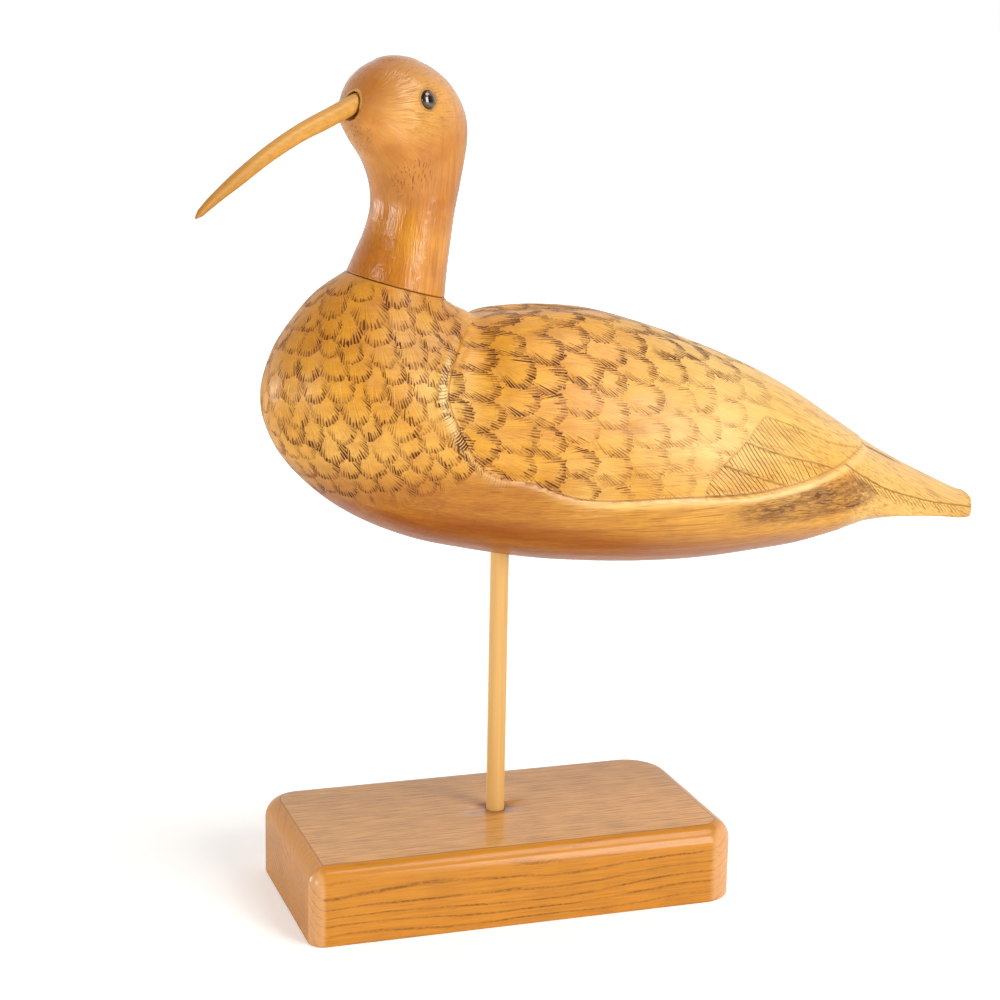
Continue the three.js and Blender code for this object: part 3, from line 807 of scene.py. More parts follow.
def wing_feathers(skin, size, rng):
    """Rows of feathers over the wings and the back, tips to the rear."""
    feathers = []
    x = wing_rows_start
    row = 0
    while x < wing_rows_end:
        for side in (-1, 1):
            down = size * (0.15 + 0.5 * (row % 2)) + rng.uniform(-0.6, 0.6)
            while down < wing_rows_depth:
                found = back_place(skin, x + rng.normal(0, 0.9), side, down)
                if found is not None:
                    place, normal = found
                    drop = 0.06 if down < 10 else 0.16 + 0.2 * smooth_step(down, 0, 30)
                    near_ridge = 1 - smooth_step(down, 6, 20)
                    length = size * (0.8 + 0.4 * near_ridge * smooth_step(x, 0, 30))
                    own = size * rng.uniform(0.9, 1.12)
                    feathers.append(feather_at(place, normal, Vector((1, 0, -drop)), own, length, rng, row))
                down += size * rng.uniform(0.86, 1.1)
        x += size * 1.08
        row += 1
    return feathers


def back_place(skin, x, side, travel):
    """A point of the skin in the plane of x, a length of travel down from the ridge on one side."""
    top, _, _, _ = skin.ray_cast(Vector((x, side * 0.4, 400)) * MM, Vector((0, 0, -1)))
    if top is None:
        return None
    centre = Vector((x, 0, belly_level + 16 * share))
    last = top
    gone = 0.0
    for angle in np.linspace(0.02, 2.2, 90):
        direction = Vector((0, side * math.sin(angle), math.cos(angle)))
        place, normal, _, _ = skin.ray_cast((centre + direction * clear_of_skin) * MM, -direction)
        if place is None:
            continue
        gone += (place - last).length / MM
        last = place
        if gone >= travel:
            return place / MM, normal
    return None


def mark_feathers(mesh, feathers, chosen):
    """Gives each face's corners their place on the three uppermost feathers over the face.

    Feathers come uppermost first, and chosen says which faces they may lie on. Across and along are in
    shares of the feather's half width and length, and the third number tells feathers apart.
    """
    count = len(mesh.polygons)
    corners = mesh_points(mesh)[each_count(mesh.loops, "vertex_index")]
    owner = np.repeat(np.arange(count), each_count(mesh.polygons, "loop_total"))
    centres = face_centres(mesh)
    normals = each_vector(mesh.polygons, "normal")
    layers = np.zeros((3, len(corners), 3))
    layers[:, :, 1] = -1
    used = np.zeros(count, int)
    for group, faces_allowed in zip(feathers, chosen):
        for place, outward, across, tip, half, length, number in group:
            offset = centres - place
            near = np.einsum("ij,ij->i", offset, offset) < (2.4 * length + half) ** 2
            near &= faces_allowed & (used < 3) & (normals @ outward > 0.25)
            mine = np.flatnonzero(near[owner])
            if not len(mine):
                continue
            from_place = corners[mine] - place
            a = from_place @ across / half
            b = from_place @ tip / length
            rim = (np.abs(a) ** rim_power + np.maximum(b, 0) ** rim_power) ** (1 / rim_power)
            face = owner[mine]
            lowest = np.full(count, np.inf)
            highest = np.zeros(count)
            np.minimum.at(lowest, face, np.where(b > -2.2, rim, np.inf))
            np.maximum.at(highest, face, rim)
            touched = lowest < 1.12
            keep = touched[face]
            layer = used[face[keep]]
            layers[layer, mine[keep]] = np.stack([a[keep], b[keep], np.full(keep.sum(), number)], -1)
            used[touched] += 1
            used[touched & (highest < 0.96)] = 3
    for i, layer in enumerate(layers):
        store(mesh, f"feather_{i + 1}", layer, "CORNER")


def burnt_share(x, z, gaps):
    """How strongly feathers are burnt in: on the breast, and on the wing before its long feathers."""
    wing = gaps["wing"]
    breast = smooth_step(z - look_up(breast_foot, x), -1, 3) * smooth_step(-x, 14, 22) * (wing < 0)
    low_front = smooth_step(-x, 46, 64) * (1 - smooth_step(z, 160, 180))
    breast *= 0.85 + 0.15 * smooth_step(z, 170, 205) + 0.3 * low_front
    on_wing = (wing > 0) * (1 - smooth_step(gaps["covert"], -1.2, 0.3) * (gaps["row_1"] > 0))
    on_wing = on_wing * (1 - smooth_step(x, 84, 97))
    fading = 1 - 0.62 * smooth_step(x, 0, 40) * (1 - smooth_step(z, 176, 188))
    return np.clip(breast + on_wing * fading, 0, 1.2)


def wing_shade_line_share(x, z):
    """How dark the painted shade line round the wing's edge is: in front of the wing, and below it."""
    front = 0.7 * smooth_step(-x, 14, 20) * look_up(front_shade_line_share, z)
    below = smooth_step(x, -12, 12) * (1 - 0.5 * smooth_step(x, 70, 100))
    return np.maximum(front, below)


def stain_and_shade_share(x, z, wing):
    """How much darker the belly and the breast's foot are painted, outside the wing: partly stain, partly
    painted shade.
    """
    belly = 1 - smooth_step(z - look_up(stain_and_shade_level, x), -9, 5)
    foot = 0.65 * (1 - smooth_step(z, 148, 162)) * (1 - smooth_step(x, -5, 35))
    return np.maximum(belly, foot) * look_up([(-20, 1), (15, 0.85)], x) * (wing < 0)


def pale_and_highlight_shares(x, z, wing, ledge):
    """How much paler the wood is painted, partly wear and partly painted highlight, and the painted
    highlight on ledge, rim and wing.
    """
    pale = np.maximum(smooth_step(x, 10, 70) * smooth_step(z, 138, 160), smooth_step(x, 112, 128))
    for worn_x, worn_z, radius, worn in pale_and_highlight_places:
        pale = np.maximum(pale, worn * spot(x, z, worn_x, worn_z, radius))
    # The rim below the wing is painted pale as painted highlight.
    rim = rise_and_fall(-wing, 0.2, 0.8, 1.4, 3.8) * smooth_step(x, -15, 40)
    wing_highlight_share = 0.4 * spot(x, z, *wing_highlight_place) * (wing > 0)
    bare = np.maximum(rim * look_up(rim_highlight, x), wing_highlight_share)
    return np.maximum(pale, 0.9 * rim), np.maximum(ledge ** 1.5, bare)


def soot_share(x, z):
    """How much dirt stayed in the wood at each place."""
    soot = 0 * x
    for soot_x, soot_z, half_length, half_height, most in sooty_places:
        soot = np.maximum(soot, most * spot(x, z, soot_x, soot_z, half_length, half_height))
    return soot


def mark_body(mesh, settings):
    """Keeps what the varnish, the burning iron and the painted shade and highlight follow: carved lines,
    feathers, darker and paler places.
    """
    points = mesh_points(mesh)
    gaps = side_distances(points)
    x, _, z = points.T
    wing = gaps["wing"]
    ledge = smooth_step(-x, 7, 12) * rise_and_fall(wing, -5.2, -2.2, -0.5, 0.1) * look_up(ledge_highlight_and_cuts, z)
    pale, bare = pale_and_highlight_shares(x, z, wing, ledge)
    rough = rough_share(points, gaps)
    count, depth = barbs(points, gaps, settings.barb_spacing / MM)
    marks = gaps | {
        "ink": burnt_share(x, z, gaps),
        "wing_shade_line": wing_shade_line_share(x, z),
        "stain_and_shade": stain_and_shade_share(x, z, wing),
        "ledge": ledge,
        "deep_cuts": spot(x, z, *deep_cut_place) * (wing > -3.4) * (wing < 0.4),
        "pale": pale,
        "bare": bare,
        "shoulder": smooth_step(-x, 14, 22) * smooth_step(z, 176, 200) * (wing < 0),
        "rough": rough,
        "soot": soot_share(x, z) * rough,
        "barb_count": count,
        "barb_depth": depth,
        # The fibres follow the back's slope on the wing's rear and on the tail.
        "fibre_drop": 0.45 * np.maximum(x - 60, 0) * ((wing > 0) | (x > 118)),
    }
    for name in body_marks:
        store(mesh, name, marks[name])

    skin = BVHTree.FromPolygons(
        [v.co for v in mesh.vertices], [tuple(p.vertices) for p in mesh.polygons])
    rng = np.random.default_rng(7)
    on_breast = breast_feathers(skin, settings.breast_feather / MM, rng)
    on_wing = wing_feathers(skin, settings.wing_feather / MM, rng)
    in_wing = side_distances(face_centres(mesh))["wing"] > 0
    mark_feathers(mesh, [on_breast, on_wing], [~in_wing, in_wing])


# Materials

# A ramp with a soft start and end
soft = {"interpolation_type": "SMOOTHSTEP"}


def add_node(tree, kind, *values, output=0, **settings):
    """Adds a node with its settings and its inputs, links those given as sockets, and returns an output."""
    made = tree.nodes.new("ShaderNode" + kind)
    named = {}
    for name, value in settings.items():
        if hasattr(made, name):
            setattr(made, name, value)
        else:
            named[name.replace("_", " ")] = value
    for key, value in [*enumerate(values), *named.items()]:
        if value is None:
            continue
        if isinstance(value, bpy.types.NodeSocket):
            tree.links.new(value, made.inputs[key])
        elif made.inputs[key].type == "RGBA" and len(value) == 3:
            made.inputs[key].default_value = (*value, 1)
        else:
            made.inputs[key].default_value = value
    return made.outputs[output] if made.outputs else made


def new_material(name):
    """A material with an empty tree, and its adder of nodes."""
    material = bpy.data.materials.new(name)
    material.use_nodes = True
    material.node_tree.nodes.clear()
    return material, partial(add_node, material.node_tree)


def in_millimetres(node):
    """The piece's own coordinates in millimetres."""
    place = node("TexCoord", output="Object")
    return node("VectorMath", place, None, None, 1 / MM, operation="SCALE")


def fibres(node, place, along, across, detail=3, seed=0.0):
    """A stretched noise, from 0 to 1: fibres of one length along X and one thickness across it, in mm."""
    stretched = node("VectorMath", place, (1 / along, 1 / across, 1 / across), operation="MULTIPLY")
    moved = node("VectorMath", stretched, (seed, seed, seed), operation="ADD")
    return node("TexNoise", moved, Scale=1.0, Detail=detail, Roughness=0.55, output="Fac")


def rim_share(node, across, along):
    """How near a point lies to a feather's rim: 0 at its middle, 1 on the rim."""
    side = node("Math", across, operation="ABSOLUTE")
    side = node("Math", side, rim_power, operation="POWER")
    ahead = node("Math", along, 0.0, operation="MAXIMUM")
    ahead = node("Math", ahead, rim_power, operation="POWER")
    both = node("Math", side, ahead, operation="ADD")
    return node("Math", both, 1 / rim_power, operation="POWER")


def uppermost_feather(node, place):
    """Place on the feather that lies uppermost: across, along, its own number, and its rim share."""
    # Rims are ragged in steps of about a millimetre.
    ragged = node("TexNoise", place, Scale=0.9, Detail=1.0, output="Fac")
    ragged = node("MapRange", ragged, 0.3, 0.7, -0.1, 0.1)
    first, second, third = [
        node("Attribute", attribute_name=f"feather_{i}", output="Vector") for i in (1, 2, 3)]
    chosen = third
    for candidate in (second, first):
        parts = node("SeparateXYZ", candidate).node
        rim = rim_share(node, parts.outputs[0], parts.outputs[1])
        over = node("Math", node("Math", rim, ragged, operation="ADD"), 1.0, operation="LESS_THAN")
        chosen = node("MixRGB", over, chosen, candidate)
    parts = node("SeparateXYZ", chosen).node
    across, along, number = parts.outputs
    rim = node("Math", rim_share(node, across, along), ragged, operation="ADD")
    return across, along, number, rim


def stripes(node, count):
    """From a running count of stripes: how far off its stripe's middle a place lies, and which it is."""
    off_middle = node("Math", node("Math", count, operation="FRACT"), 0.5, operation="SUBTRACT")
    return node("Math", off_middle, operation="ABSOLUTE"), node("Math", count, operation="FLOOR")


def feather_strokes(node, place, marks):
    """Burnt strokes that fan out along each feather's rim, the scorched wood there, and the fine fan."""
    across, along, number, rim = uppermost_feather(node, place)
    in_wing = node("Math", marks["wing"], 0.0, operation="GREATER_THAN")
    # Stroke spacing: about 1 mm, on the breast as on the wing, where feathers are longer.
    spokes = node("MapRange", in_wing, 0.0, 1.0, 9.2, 12.5)
    behind = node("Math", along, 1.15, operation="ADD")
    angle = node("Math", across, behind, operation="ARCTAN2")
    turn = node("Math", angle, spokes, operation="MULTIPLY")
    shifted = node("Math", number, 7.3, operation="MULTIPLY")
    turn = node("Math", turn, shifted, operation="ADD")
    off_middle, cell = stripes(node, turn)
    key = node("CombineXYZ", cell, number, 0.0)
    random = node("TexWhiteNoise", key, noise_dimensions="3D", output="Color")
    thick, long, dark = node("SeparateXYZ", random).node.outputs
    half_width = node("MapRange", thick, 0.0, 1.0, 0.14, 0.4)
    side = node("Math", half_width, off_middle, operation="SUBTRACT")
    stroke = node("MapRange", side, -0.04, 0.08, 0.0, 1.0, **soft)
    start = node("MapRange", long, 0.0, 1.0, 0.36, 0.7)
    own = node("TexWhiteNoise", None, number, noise_dimensions="1D", output="Value")
    start = node("Math", node("MapRange", own, 0.0, 1.0, 0.14, 0.0), start, operation="ADD")
    past = node("Math", rim, start, operation="SUBTRACT")
    length = node("MapRange", past, -0.04, 0.16, 0.0, 1.0, **soft)
    flank = node("MapRange", along, -0.75, 0.1, 0.0, 1.0, **soft)
    strength = node("MapRange", dark, 0.0, 1.0, 0.45, 1.5)
    # Some feathers were burnt deeper than others, and some only on one flank.
    own = node("MapRange", own, 0.0, 1.0, 0.55, 1.2)
    burnt_side = node("TexNoise", place, Scale=0.22, Detail=1.0, output="Fac")
    own = node("Math", own, node("MapRange", burnt_side, 0.38, 0.6, 0.6, 1.15), operation="MULTIPLY")
    ink = node("Math", marks["ink"], own, operation="MULTIPLY")
    for part in (length, flank, strength):
        stroke = node("Math", stroke, part, operation="MULTIPLY")
    stroke = node("Math", stroke, ink, operation="MULTIPLY", use_clamp=True)
    # The wood is scorched brown between the strokes.
    shade = node("MapRange", rim, 0.6, 0.98, 0.0, 0.45, **soft)
    for part in (flank, ink):
        shade = node("Math", shade, part, operation="MULTIPLY")
    fan = node("TexNoise", None, turn, noise_dimensions="1D", Scale=1.4, Detail=1.5, output="Fac")
    return stroke, shade, fan


def cut_row(node, count, edge, end):
    """Soft-edged cuts, one to each count: the groove, the way off its middle, and a chance of its own."""
    off_middle, cell = stripes(node, count)
    groove = node("MapRange", off_middle, edge, end, 1.0, 0.0, **soft)
    chance = node("TexWhiteNoise", None, cell, noise_dimensions="1D", output="Value")
    return groove, off_middle, chance


def feather_cuts(node, marks):
    """Cuts across the rows of long feathers and the tail's sides: 1 in the deepest ones."""
    groove, _, chance = cut_row(node, marks["barb_count"], 0.03, 0.17)
    # Each cut runs out at a depth of its own.
    worn = node("Math", chance, 0.45, operation="MULTIPLY")
    left = node("Math", marks["barb_depth"], worn, operation="SUBTRACT")
    for part in (node("MapRange", left, 0.0, 0.5, 0.0, 1.0), node("MapRange", chance, 0.0, 1.0, 1.0, 0.4)):
        groove = node("Math", groove, part, operation="MULTIPLY")
    return groove


def ledge_cuts(node, marks):
    """Fine cuts across the rolled ledge in front of the wing, and a few deep ones low on it."""
    count = node("Math", marks["wing_along"], 1 / ledge_barb_spacing, operation="MULTIPLY")
    count = node("Math", count, node("Math", marks["wing"], 0.12, operation="MULTIPLY"), operation="ADD")
    groove, off_middle, chance = cut_row(node, count, 0.08, 0.26)
    for part in (node("MapRange", chance, 0.0, 1.0, 0.25, 1.0), marks["ledge"]):
        groove = node("Math", groove, part, operation="MULTIPLY")
    bold = node("MapRange", off_middle, 0.24, 0.34, 1.0, 0.0, **soft)
    deep = node("MapRange", marks["deep_cuts"], 0.2, 0.6, 0.0, 1.6)
    deep = node("Math", deep, bold, operation="MULTIPLY")
    return node("Math", groove, deep, operation="MAXIMUM")


def edge_shade_lines(node, marks):
    """Painted shade in thin dark lines in the corners under the wing's, coverts', rows' and tail's edges.
    """
    behind = node("MapRange", marks["covert"], -0.2, 0.3, 0.0, 1.0)
    in_wing = node("MapRange", marks["wing"], 0.0, 0.5, 0.0, 1.0)
    in_rows = node("Math", behind, in_wing, operation="MULTIPLY")
    out_of_wing = node("MapRange", marks["wing"], -0.5, 0.1, 1.0, 0.0)
    short_end = node("MapRange", marks["tail_short_along"], 12.0, 24.0, 1.0, 0.0)
    short_end = node("Math", out_of_wing, short_end, operation="MULTIPLY")
    # The carved line, the distance off it in millimetres, how dark it is, and where
    edge_shade = [
        ("wing", 0.45, 0.5, marks["wing_shade_line"]),
        ("row_1", 0.2, 0.28, in_rows), ("row_1", -3.0, 0.16, in_rows), ("row_1", -6.2, 0.16, in_rows),
        ("row_2", 0.25, 0.45, in_rows), ("row_3", 0.25, 0.45, in_rows),
        ("tail", -0.3, 0.6, out_of_wing), ("tail_short", 0.0, 0.75, short_end),
    ]
    lines = 0.0
    for name, middle, strength, where in edge_shade:
        off = node("Math", marks[name], middle, operation="SUBTRACT")
        off = node("Math", off, operation="ABSOLUTE")
        line = node("MapRange", off, 0.08, 0.5, strength, 0.0, **soft)
        line = node("Math", line, where, operation="MULTIPLY")
        lines = node("Math", lines, line, operation="MAXIMUM")
    return lines


def honey_wood(node, place, marks, settings):
    """The body's wood, darker below with stain and painted shade: its colour, its fibres and blotches, and
    how plain it was left.
    """
    # Basswood has little figure: streaks 4 mm thick, blotches of varnish, and fibres drawn 0.5 mm thick,
    # coarser than real ones so that they show.
    drop = node("CombineXYZ", 0.0, 0.0, marks["fibre_drop"])
    grain = node("VectorMath", place, drop, operation="ADD")
    streaks = fibres(node, grain, 90, 4)
    blotches = node("TexNoise", place, Scale=0.11, Detail=4.0, Roughness=0.6, output="Fac")
    fine = fibres(node, grain, 10, 0.5, seed=5)
    threads = fibres(node, grain, 30, 0.6, detail=2, seed=21)
    colour = node("MixRGB", marks["pale"], settings.honey, settings.pale_and_highlight_honey)
    shown = node("MapRange", marks["pale"], 0.0, 1.0, 1.0, 0.6)
    plain = node("MapRange", marks["ink"], 0.0, 0.6, 1.0, 0.25)
    # What deepens the wood, and how much of that shows at a place
    deeper = [
        (node("MapRange", streaks, 0.35, 0.72, 0.0, 0.3), shown),
        (node("MapRange", blotches, 0.45, 0.75, 0.0, 0.35), shown),
        (0.3, marks["shoulder"]),
        # The underside is deepened by stain and by painted shade.
        (node("MapRange", streaks, 0.3, 0.7, 0.8, 1.1), marks["stain_and_shade"]),
        (node("MapRange", threads, 0.54, 0.66, 0.0, 0.5), plain),
    ]
    for amount, where in deeper:
        amount = node("Math", amount, where, operation="MULTIPLY")
        colour = node("MixRGB", amount, colour, settings.deep_stain_and_shade)
    fibre_tone = node("MapRange", fine, 0.3, 0.7, 1.12, 0.8)
    grained = node("MixRGB", 1.0, colour, fibre_tone, blend_type="MULTIPLY")
    return node("MixRGB", plain, colour, grained), fine, blotches, plain


def rough_dirt(node, place, marks, colour):
    """The patch left rough under the wing tip: the colour with its dirt, the grit and the torn fibres."""
    # Dirt stayed between level ripples 4.5 mm long and 0.6 mm thick, and washed out round them.
    ripples = fibres(node, place, 4.5, 0.6, detail=2, seed=11)
    blotch = fibres(node, place, 7, 2.5, detail=4, seed=3)
    soot = node("Math", blotch, marks["soot"], operation="MULTIPLY")
    soot = node("MapRange", soot, 0.16, 0.42, 0.0, 1.0)
    wash = node("MapRange", blotch, 0.42, 0.58, 0.25, 0.75)
    wash = node("Math", marks["rough"], wash, operation="MULTIPLY")
    wash = node("Math", wash, node("Math", soot, 0.8, operation="MULTIPLY"), operation="MAXIMUM")
    colour = node("MixRGB", wash, colour, linear("#96612B"))
    dirty = node("Math", node("Math", marks["rough"], 0.5, operation="MULTIPLY"), soot, operation="MAXIMUM")
    grit = node("Math", dirty, node("MapRange", ripples, 0.5, 0.57, 0.0, 1.0), operation="MULTIPLY")
    torn = fibres(node, place, 3.5, 0.9, detail=1, seed=31)
    return colour, grit, node("Math", torn, marks["rough"], operation="MULTIPLY")


def varnished_basswood_body(settings):
    """Carved basswood, honey varnish: fine fibres from bill to tail, burnt feather strokes, satin gloss."""
    material, node = new_material("varnished_basswood_body")
    place = in_millimetres(node)
    marks = {name: node("Attribute", attribute_name=name, output="Fac") for name in body_marks}
    stroke, shade, fan = feather_strokes(node, place, marks)
    cuts = feather_cuts(node, marks)
    fine_cuts = ledge_cuts(node, marks)
    edge_shade = edge_shade_lines(node, marks)

    colour, fine, blotches, plain = honey_wood(node, place, marks, settings)
    # Fine lines across the feathers, lighter and darker, partly painted highlight on their raised ridges.
    fanned = node("MixRGB", 1.0, colour, node("MapRange", fan, 0.3, 0.7, 0.87, 1.08), blend_type="MULTIPLY")
    feathered = node("Math", marks["ink"], 2.2, operation="MULTIPLY", use_clamp=True)
    colour = node("MixRGB", feathered, colour, fanned)
    # Ledges, rims and a patch of the wing are painted almost white as painted highlight.
    bare = node("Math", marks["bare"], 0.85, operation="MULTIPLY")
    colour = node("MixRGB", bare, colour, linear("#F8D18E"))
    colour = node("MixRGB", shade, colour, settings.deep_stain_and_shade)
    colour, grit, torn = rough_dirt(node, place, marks, colour)
    # Burnt strokes and cuts, grit, and painted shade under the carved edges all take the dark line colour.
    for mask, strength in ((stroke, 1.0), (cuts, 0.95), (edge_shade, 1.0), (fine_cuts, 0.85), (grit, 0.75)):
        mask = node("Math", mask, strength, operation="MULTIPLY")
        colour = node("MixRGB", mask, colour, settings.burn_and_shade_line)

    # Strokes and cuts are sunk, fibres and the fan between the strokes stand up a little.
    height = node("Math", node("Math", fine, 0.3, operation="MULTIPLY"), plain, operation="MULTIPLY")
    raised_fan = node("Math", fan, feathered, operation="MULTIPLY")
    layers = [
        (stroke, -0.9), (cuts, -0.4), (fine_cuts, -0.9), (grit, -1.0), (torn, 4.0), (raised_fan, 0.45),
        (blotches, 0.8),
    ]
    for mask, strength in layers:
        height = node("Math", mask, strength, height, operation="MULTIPLY_ADD")
    bump = node("Bump", Strength=1.0, Distance=0.2 * MM, Height=height)
    roughness = node("MapRange", stroke, 0.0, 1.0, 0.34, 0.6)
    roughness = node("Math", fine, 0.12, roughness, operation="MULTIPLY_ADD")
    # The burnt cuts are dull: varnish sank into them.
    sunk = node("Math", stroke, node("Math", cuts, edge_shade, operation="MAXIMUM"), operation="MAXIMUM")
    gloss = node("MapRange", sunk, 0.0, 0.8, 0.5, 0.1)
    shader = node(
        "BsdfPrincipled", Base_Color=colour, Roughness=roughness, IOR=1.5, Specular_IOR_Level=0.14,
        Coat_Weight=gloss, Coat_Roughness=0.24, Coat_IOR=1.5, Normal=bump, Coat_Normal=bump)
    node("OutputMaterial", shader)
    return material


def face_fan(node, place):
    """Place on the fan in which the fibres spread from the bill, and the share of the face it covers."""
    from_bill = node("VectorMath", place, tuple(bill_frame()[0]), operation="SUBTRACT")
    ahead, aside, above = node("SeparateXYZ", from_bill).node.outputs
    away = node("VectorMath", from_bill, (1, 0, 1), operation="MULTIPLY")
    away = node("VectorMath", away, operation="LENGTH", output="Value")
    spread = node("Math", above, ahead, operation="ARCTAN2")
    spread = node("Math", spread, 20.0, operation="MULTIPLY")
    fan = node("CombineXYZ", away, spread, node("Math", aside, 0.15, operation="MULTIPLY"))
    return fan, node("MapRange", away, 24.0, 38.0, 1.0, 0.0, **soft)


def varnished_basswood_head(settings):
    """Redder basswood: fibres up the neck that fan out over the face, short dark pores, deep varnish."""
    material, node = new_material("varnished_basswood_head")
    place = in_millimetres(node)
    head_darkening, pored, eye_gap, mouth_gap = [
        node("Attribute", attribute_name=name, output="Fac")
        for name in ("head_darkening", "pored", "eye_gap", "mouth_gap")]
    upright = node("VectorRotate", place, None, (0, 1, 0), math.radians(84), rotation_type="AXIS_ANGLE")
    streaks = fibres(node, upright, 40, 2.5)
    blotches = node("TexNoise", place, Scale=0.09, Detail=4.0, Roughness=0.6, output="Fac")
    fine = fibres(node, upright, 14, 0.5, detail=2, seed=5)
    pores = fibres(node, upright, 6, 0.38, detail=0, seed=9)
    fan, face = face_fan(node, place)
    fine = node("MixRGB", face, fine, fibres(node, fan, 9, 0.4, detail=2, seed=15))
    dark = tuple(c * s for c, s in zip(settings.head_wood, (0.6, 0.42, 0.2)))
    streaked = node("MapRange", streaks, 0.35, 0.7, 0.0, 0.5)
    streaked = node("Math", streaked, node("MapRange", face, 0.0, 1.0, 1.0, 0.4), operation="MULTIPLY")
    colour = node("MixRGB", streaked, settings.head_wood, dark)
    colour = node("MixRGB", node("MapRange", blotches, 0.42, 0.7, 0.0, 0.65), colour, dark)
    # The head is painted darker on the crown, on the throat and round the neck below the head.
    colour = node("MixRGB", head_darkening, colour, dark)
    fine_share = node("MapRange", fine, 0.3, 0.7, 1.12, 0.8)
    shown = node("MapRange", face, 0.0, 1.0, 1.0, 0.5)
    colour = node("MixRGB", shown, colour, fine_share, blend_type="MULTIPLY")
    # Pores 6 mm long opened in a few clusters.
    dashes = node("MapRange", pores, 0.66, 0.72, 0.0, 0.7)
    dashes = node("Math", dashes, pored, operation="MULTIPLY")
    colour = node("MixRGB", dashes, colour, linear("#6B3413"))
    # A thin cut runs round each eye; the bill's hole has a paler lip, and its inside is painted dark as
    # painted shade.
    off = node("Math", node("Math", eye_gap, 0.5, operation="SUBTRACT"), operation="ABSOLUTE")
    cut = node("MapRange", off, 0.1, 0.35, 0.55, 0.0, **soft)
    lip = node("MapRange", mouth_gap, 0.0, 0.2, 0.4, 0.0, **soft)
    colour = node("MixRGB", lip, colour, settings.pale_and_highlight_honey)
    # Painted shade inside the bill's hole.
    within = node("MapRange", mouth_gap, -0.6, -0.3, 0.9, 0.0)
    cut = node("Math", cut, within, operation="MAXIMUM")
    colour = node("MixRGB", cut, colour, settings.burn_and_shade_line)
    # The cheek is painted paler round the eye as painted highlight, with fine scratches that fan out across
    # it.
    scratches = node("MapRange", fibres(node, fan, 9, 0.4, detail=1, seed=17), 0.52, 0.66, 0.0, 1.0)
    near_eye = node("MapRange", eye_gap, 3.0, 16.0, 1.0, 0.0, **soft)
    scratches = node("Math", scratches, near_eye, operation="MULTIPLY")
    cheek_highlight = node("Math", near_eye, 0.25, operation="MULTIPLY")
    colour = node("MixRGB", cheek_highlight, colour, settings.pale_and_highlight_honey)
    colour = node("MixRGB", node("Math", scratches, 0.2, operation="MULTIPLY"), colour, dark)
    height = node("MapRange", fine, 0.3, 0.7, 0.0, 0.6)
    height = node("Math", height, node("MapRange", face, 0.0, 1.0, 1.2, 1.9), operation="MULTIPLY")
    for mask, strength in ((dashes, -1.5), (cut, -1.5), (scratches, -1.8), (blotches, 6.0)):
        height = node("Math", mask, strength, height, operation="MULTIPLY_ADD")
    bump = node("Bump", Strength=1.0, Distance=0.09 * MM, Height=height)
    roughness = node("MapRange", fine, 0.3, 0.7, 0.26, 0.38)
    shader = node(
        "BsdfPrincipled", Base_Color=colour, Roughness=roughness, IOR=1.5, Specular_IOR_Level=0.12,
        Coat_Weight=0.9, Coat_Roughness=0.14, Coat_IOR=1.5, Normal=bump, Coat_Normal=bump)
    node("OutputMaterial", shader)
    return material


def varnished_bill_wood(settings):
    """A bent twig of plain straight-grained wood, varnished: long fine fibres along the bill."""
    material, node = new_material("varnished_bill_wood")
    streaks = fibres(node, in_millimetres(node), 40, 1.2)
    dark = tuple(c * s for c, s in zip(settings.bill_wood, (0.62, 0.52, 0.4)))
    streaked = node("MapRange", streaks, 0.35, 0.7, 0.0, 0.45)
    colour = node("MixRGB", streaked, settings.bill_wood, dark)
    # Varnish ran down to the tip.
    from_root = node("Attribute", attribute_name="from_root", output="Fac")
    colour = node("MixRGB", node("MapRange", from_root, 0.4, 1.0, 0.0, 0.8), colour, dark)
    bump = node("Bump", Strength=1.0, Distance=0.05 * MM, Height=streaks)
    shader = node(
        "BsdfPrincipled", Base_Color=colour, Roughness=0.4, IOR=1.5, Specular_IOR_Level=0.25,
        Coat_Weight=0.2, Coat_Roughness=0.25, Coat_IOR=1.5, Normal=bump)
    node("OutputMaterial", shader)
    return material


def planed_birch_dowel(settings):
    """Birch dowel rod, bare and smooth from the die: pale, with long faint fibres up the rod."""
    material, node = new_material("planed_birch_dowel")
    place = in_millimetres(node)
    upright = node("VectorRotate", place, None, (0, 1, 0), math.pi / 2, rotation_type="AXIS_ANGLE")
    streaks = fibres(node, upright, 50, 0.9)
    streaked = node("MapRange", streaks, 0.35, 0.7, 0.0, 0.4)
    colour = node("MixRGB", streaked, settings.birch, tuple(c * 0.72 for c in settings.birch))
    bump = node("Bump", Strength=1.0, Distance=0.04 * MM, Height=streaks)
    shader = node("BsdfPrincipled", Base_Color=colour, Roughness=0.5, IOR=1.5, Normal=bump)
    node("OutputMaterial", shader)
    return material


def growth_lines(node, place):
    """Thin dark lines where the log's growth rings meet the block's faces, broken up and dotted."""
    # The rings are drawn out along the block, round a heart that lies below it.
    warp = fibres(node, place, 90, 24, detail=1, seed=2)
    heart = node("VectorMath", place, (0, -30, 40), operation="ADD")
    bent = node("VectorMath", heart, (0.03, 1.0, 1.0), operation="MULTIPLY")
    away = node("VectorMath", bent, operation="LENGTH", output="Value")
    ring = node("Math", warp, 8.0, away, operation="MULTIPLY_ADD")
    ring = node("Math", fibres(node, place, 9, 3, detail=1, seed=6), 0.5, ring, operation="MULTIPLY_ADD")
    within = node("Math", node("Math", ring, 1 / growth_ring, operation="MULTIPLY"), operation="FRACT")
    growth = node("MapRange", within, 0.7, 0.84, 0.0, 1.0, **soft)
    ended = node("MapRange", within, 0.9, 1.0, 1.0, 0.0, **soft)
    broken = node("MapRange", fibres(node, place, 30, 2.5, detail=2, seed=14), 0.4, 0.6, 0.25, 0.9)
    dots = node("MapRange", fibres(node, place, 1.3, 0.6, detail=0, seed=24), 0.35, 0.6, 0.45, 1.0)
    for part in (ended, broken, dots):
        growth = node("Math", growth, part, operation="MULTIPLY")
    return growth


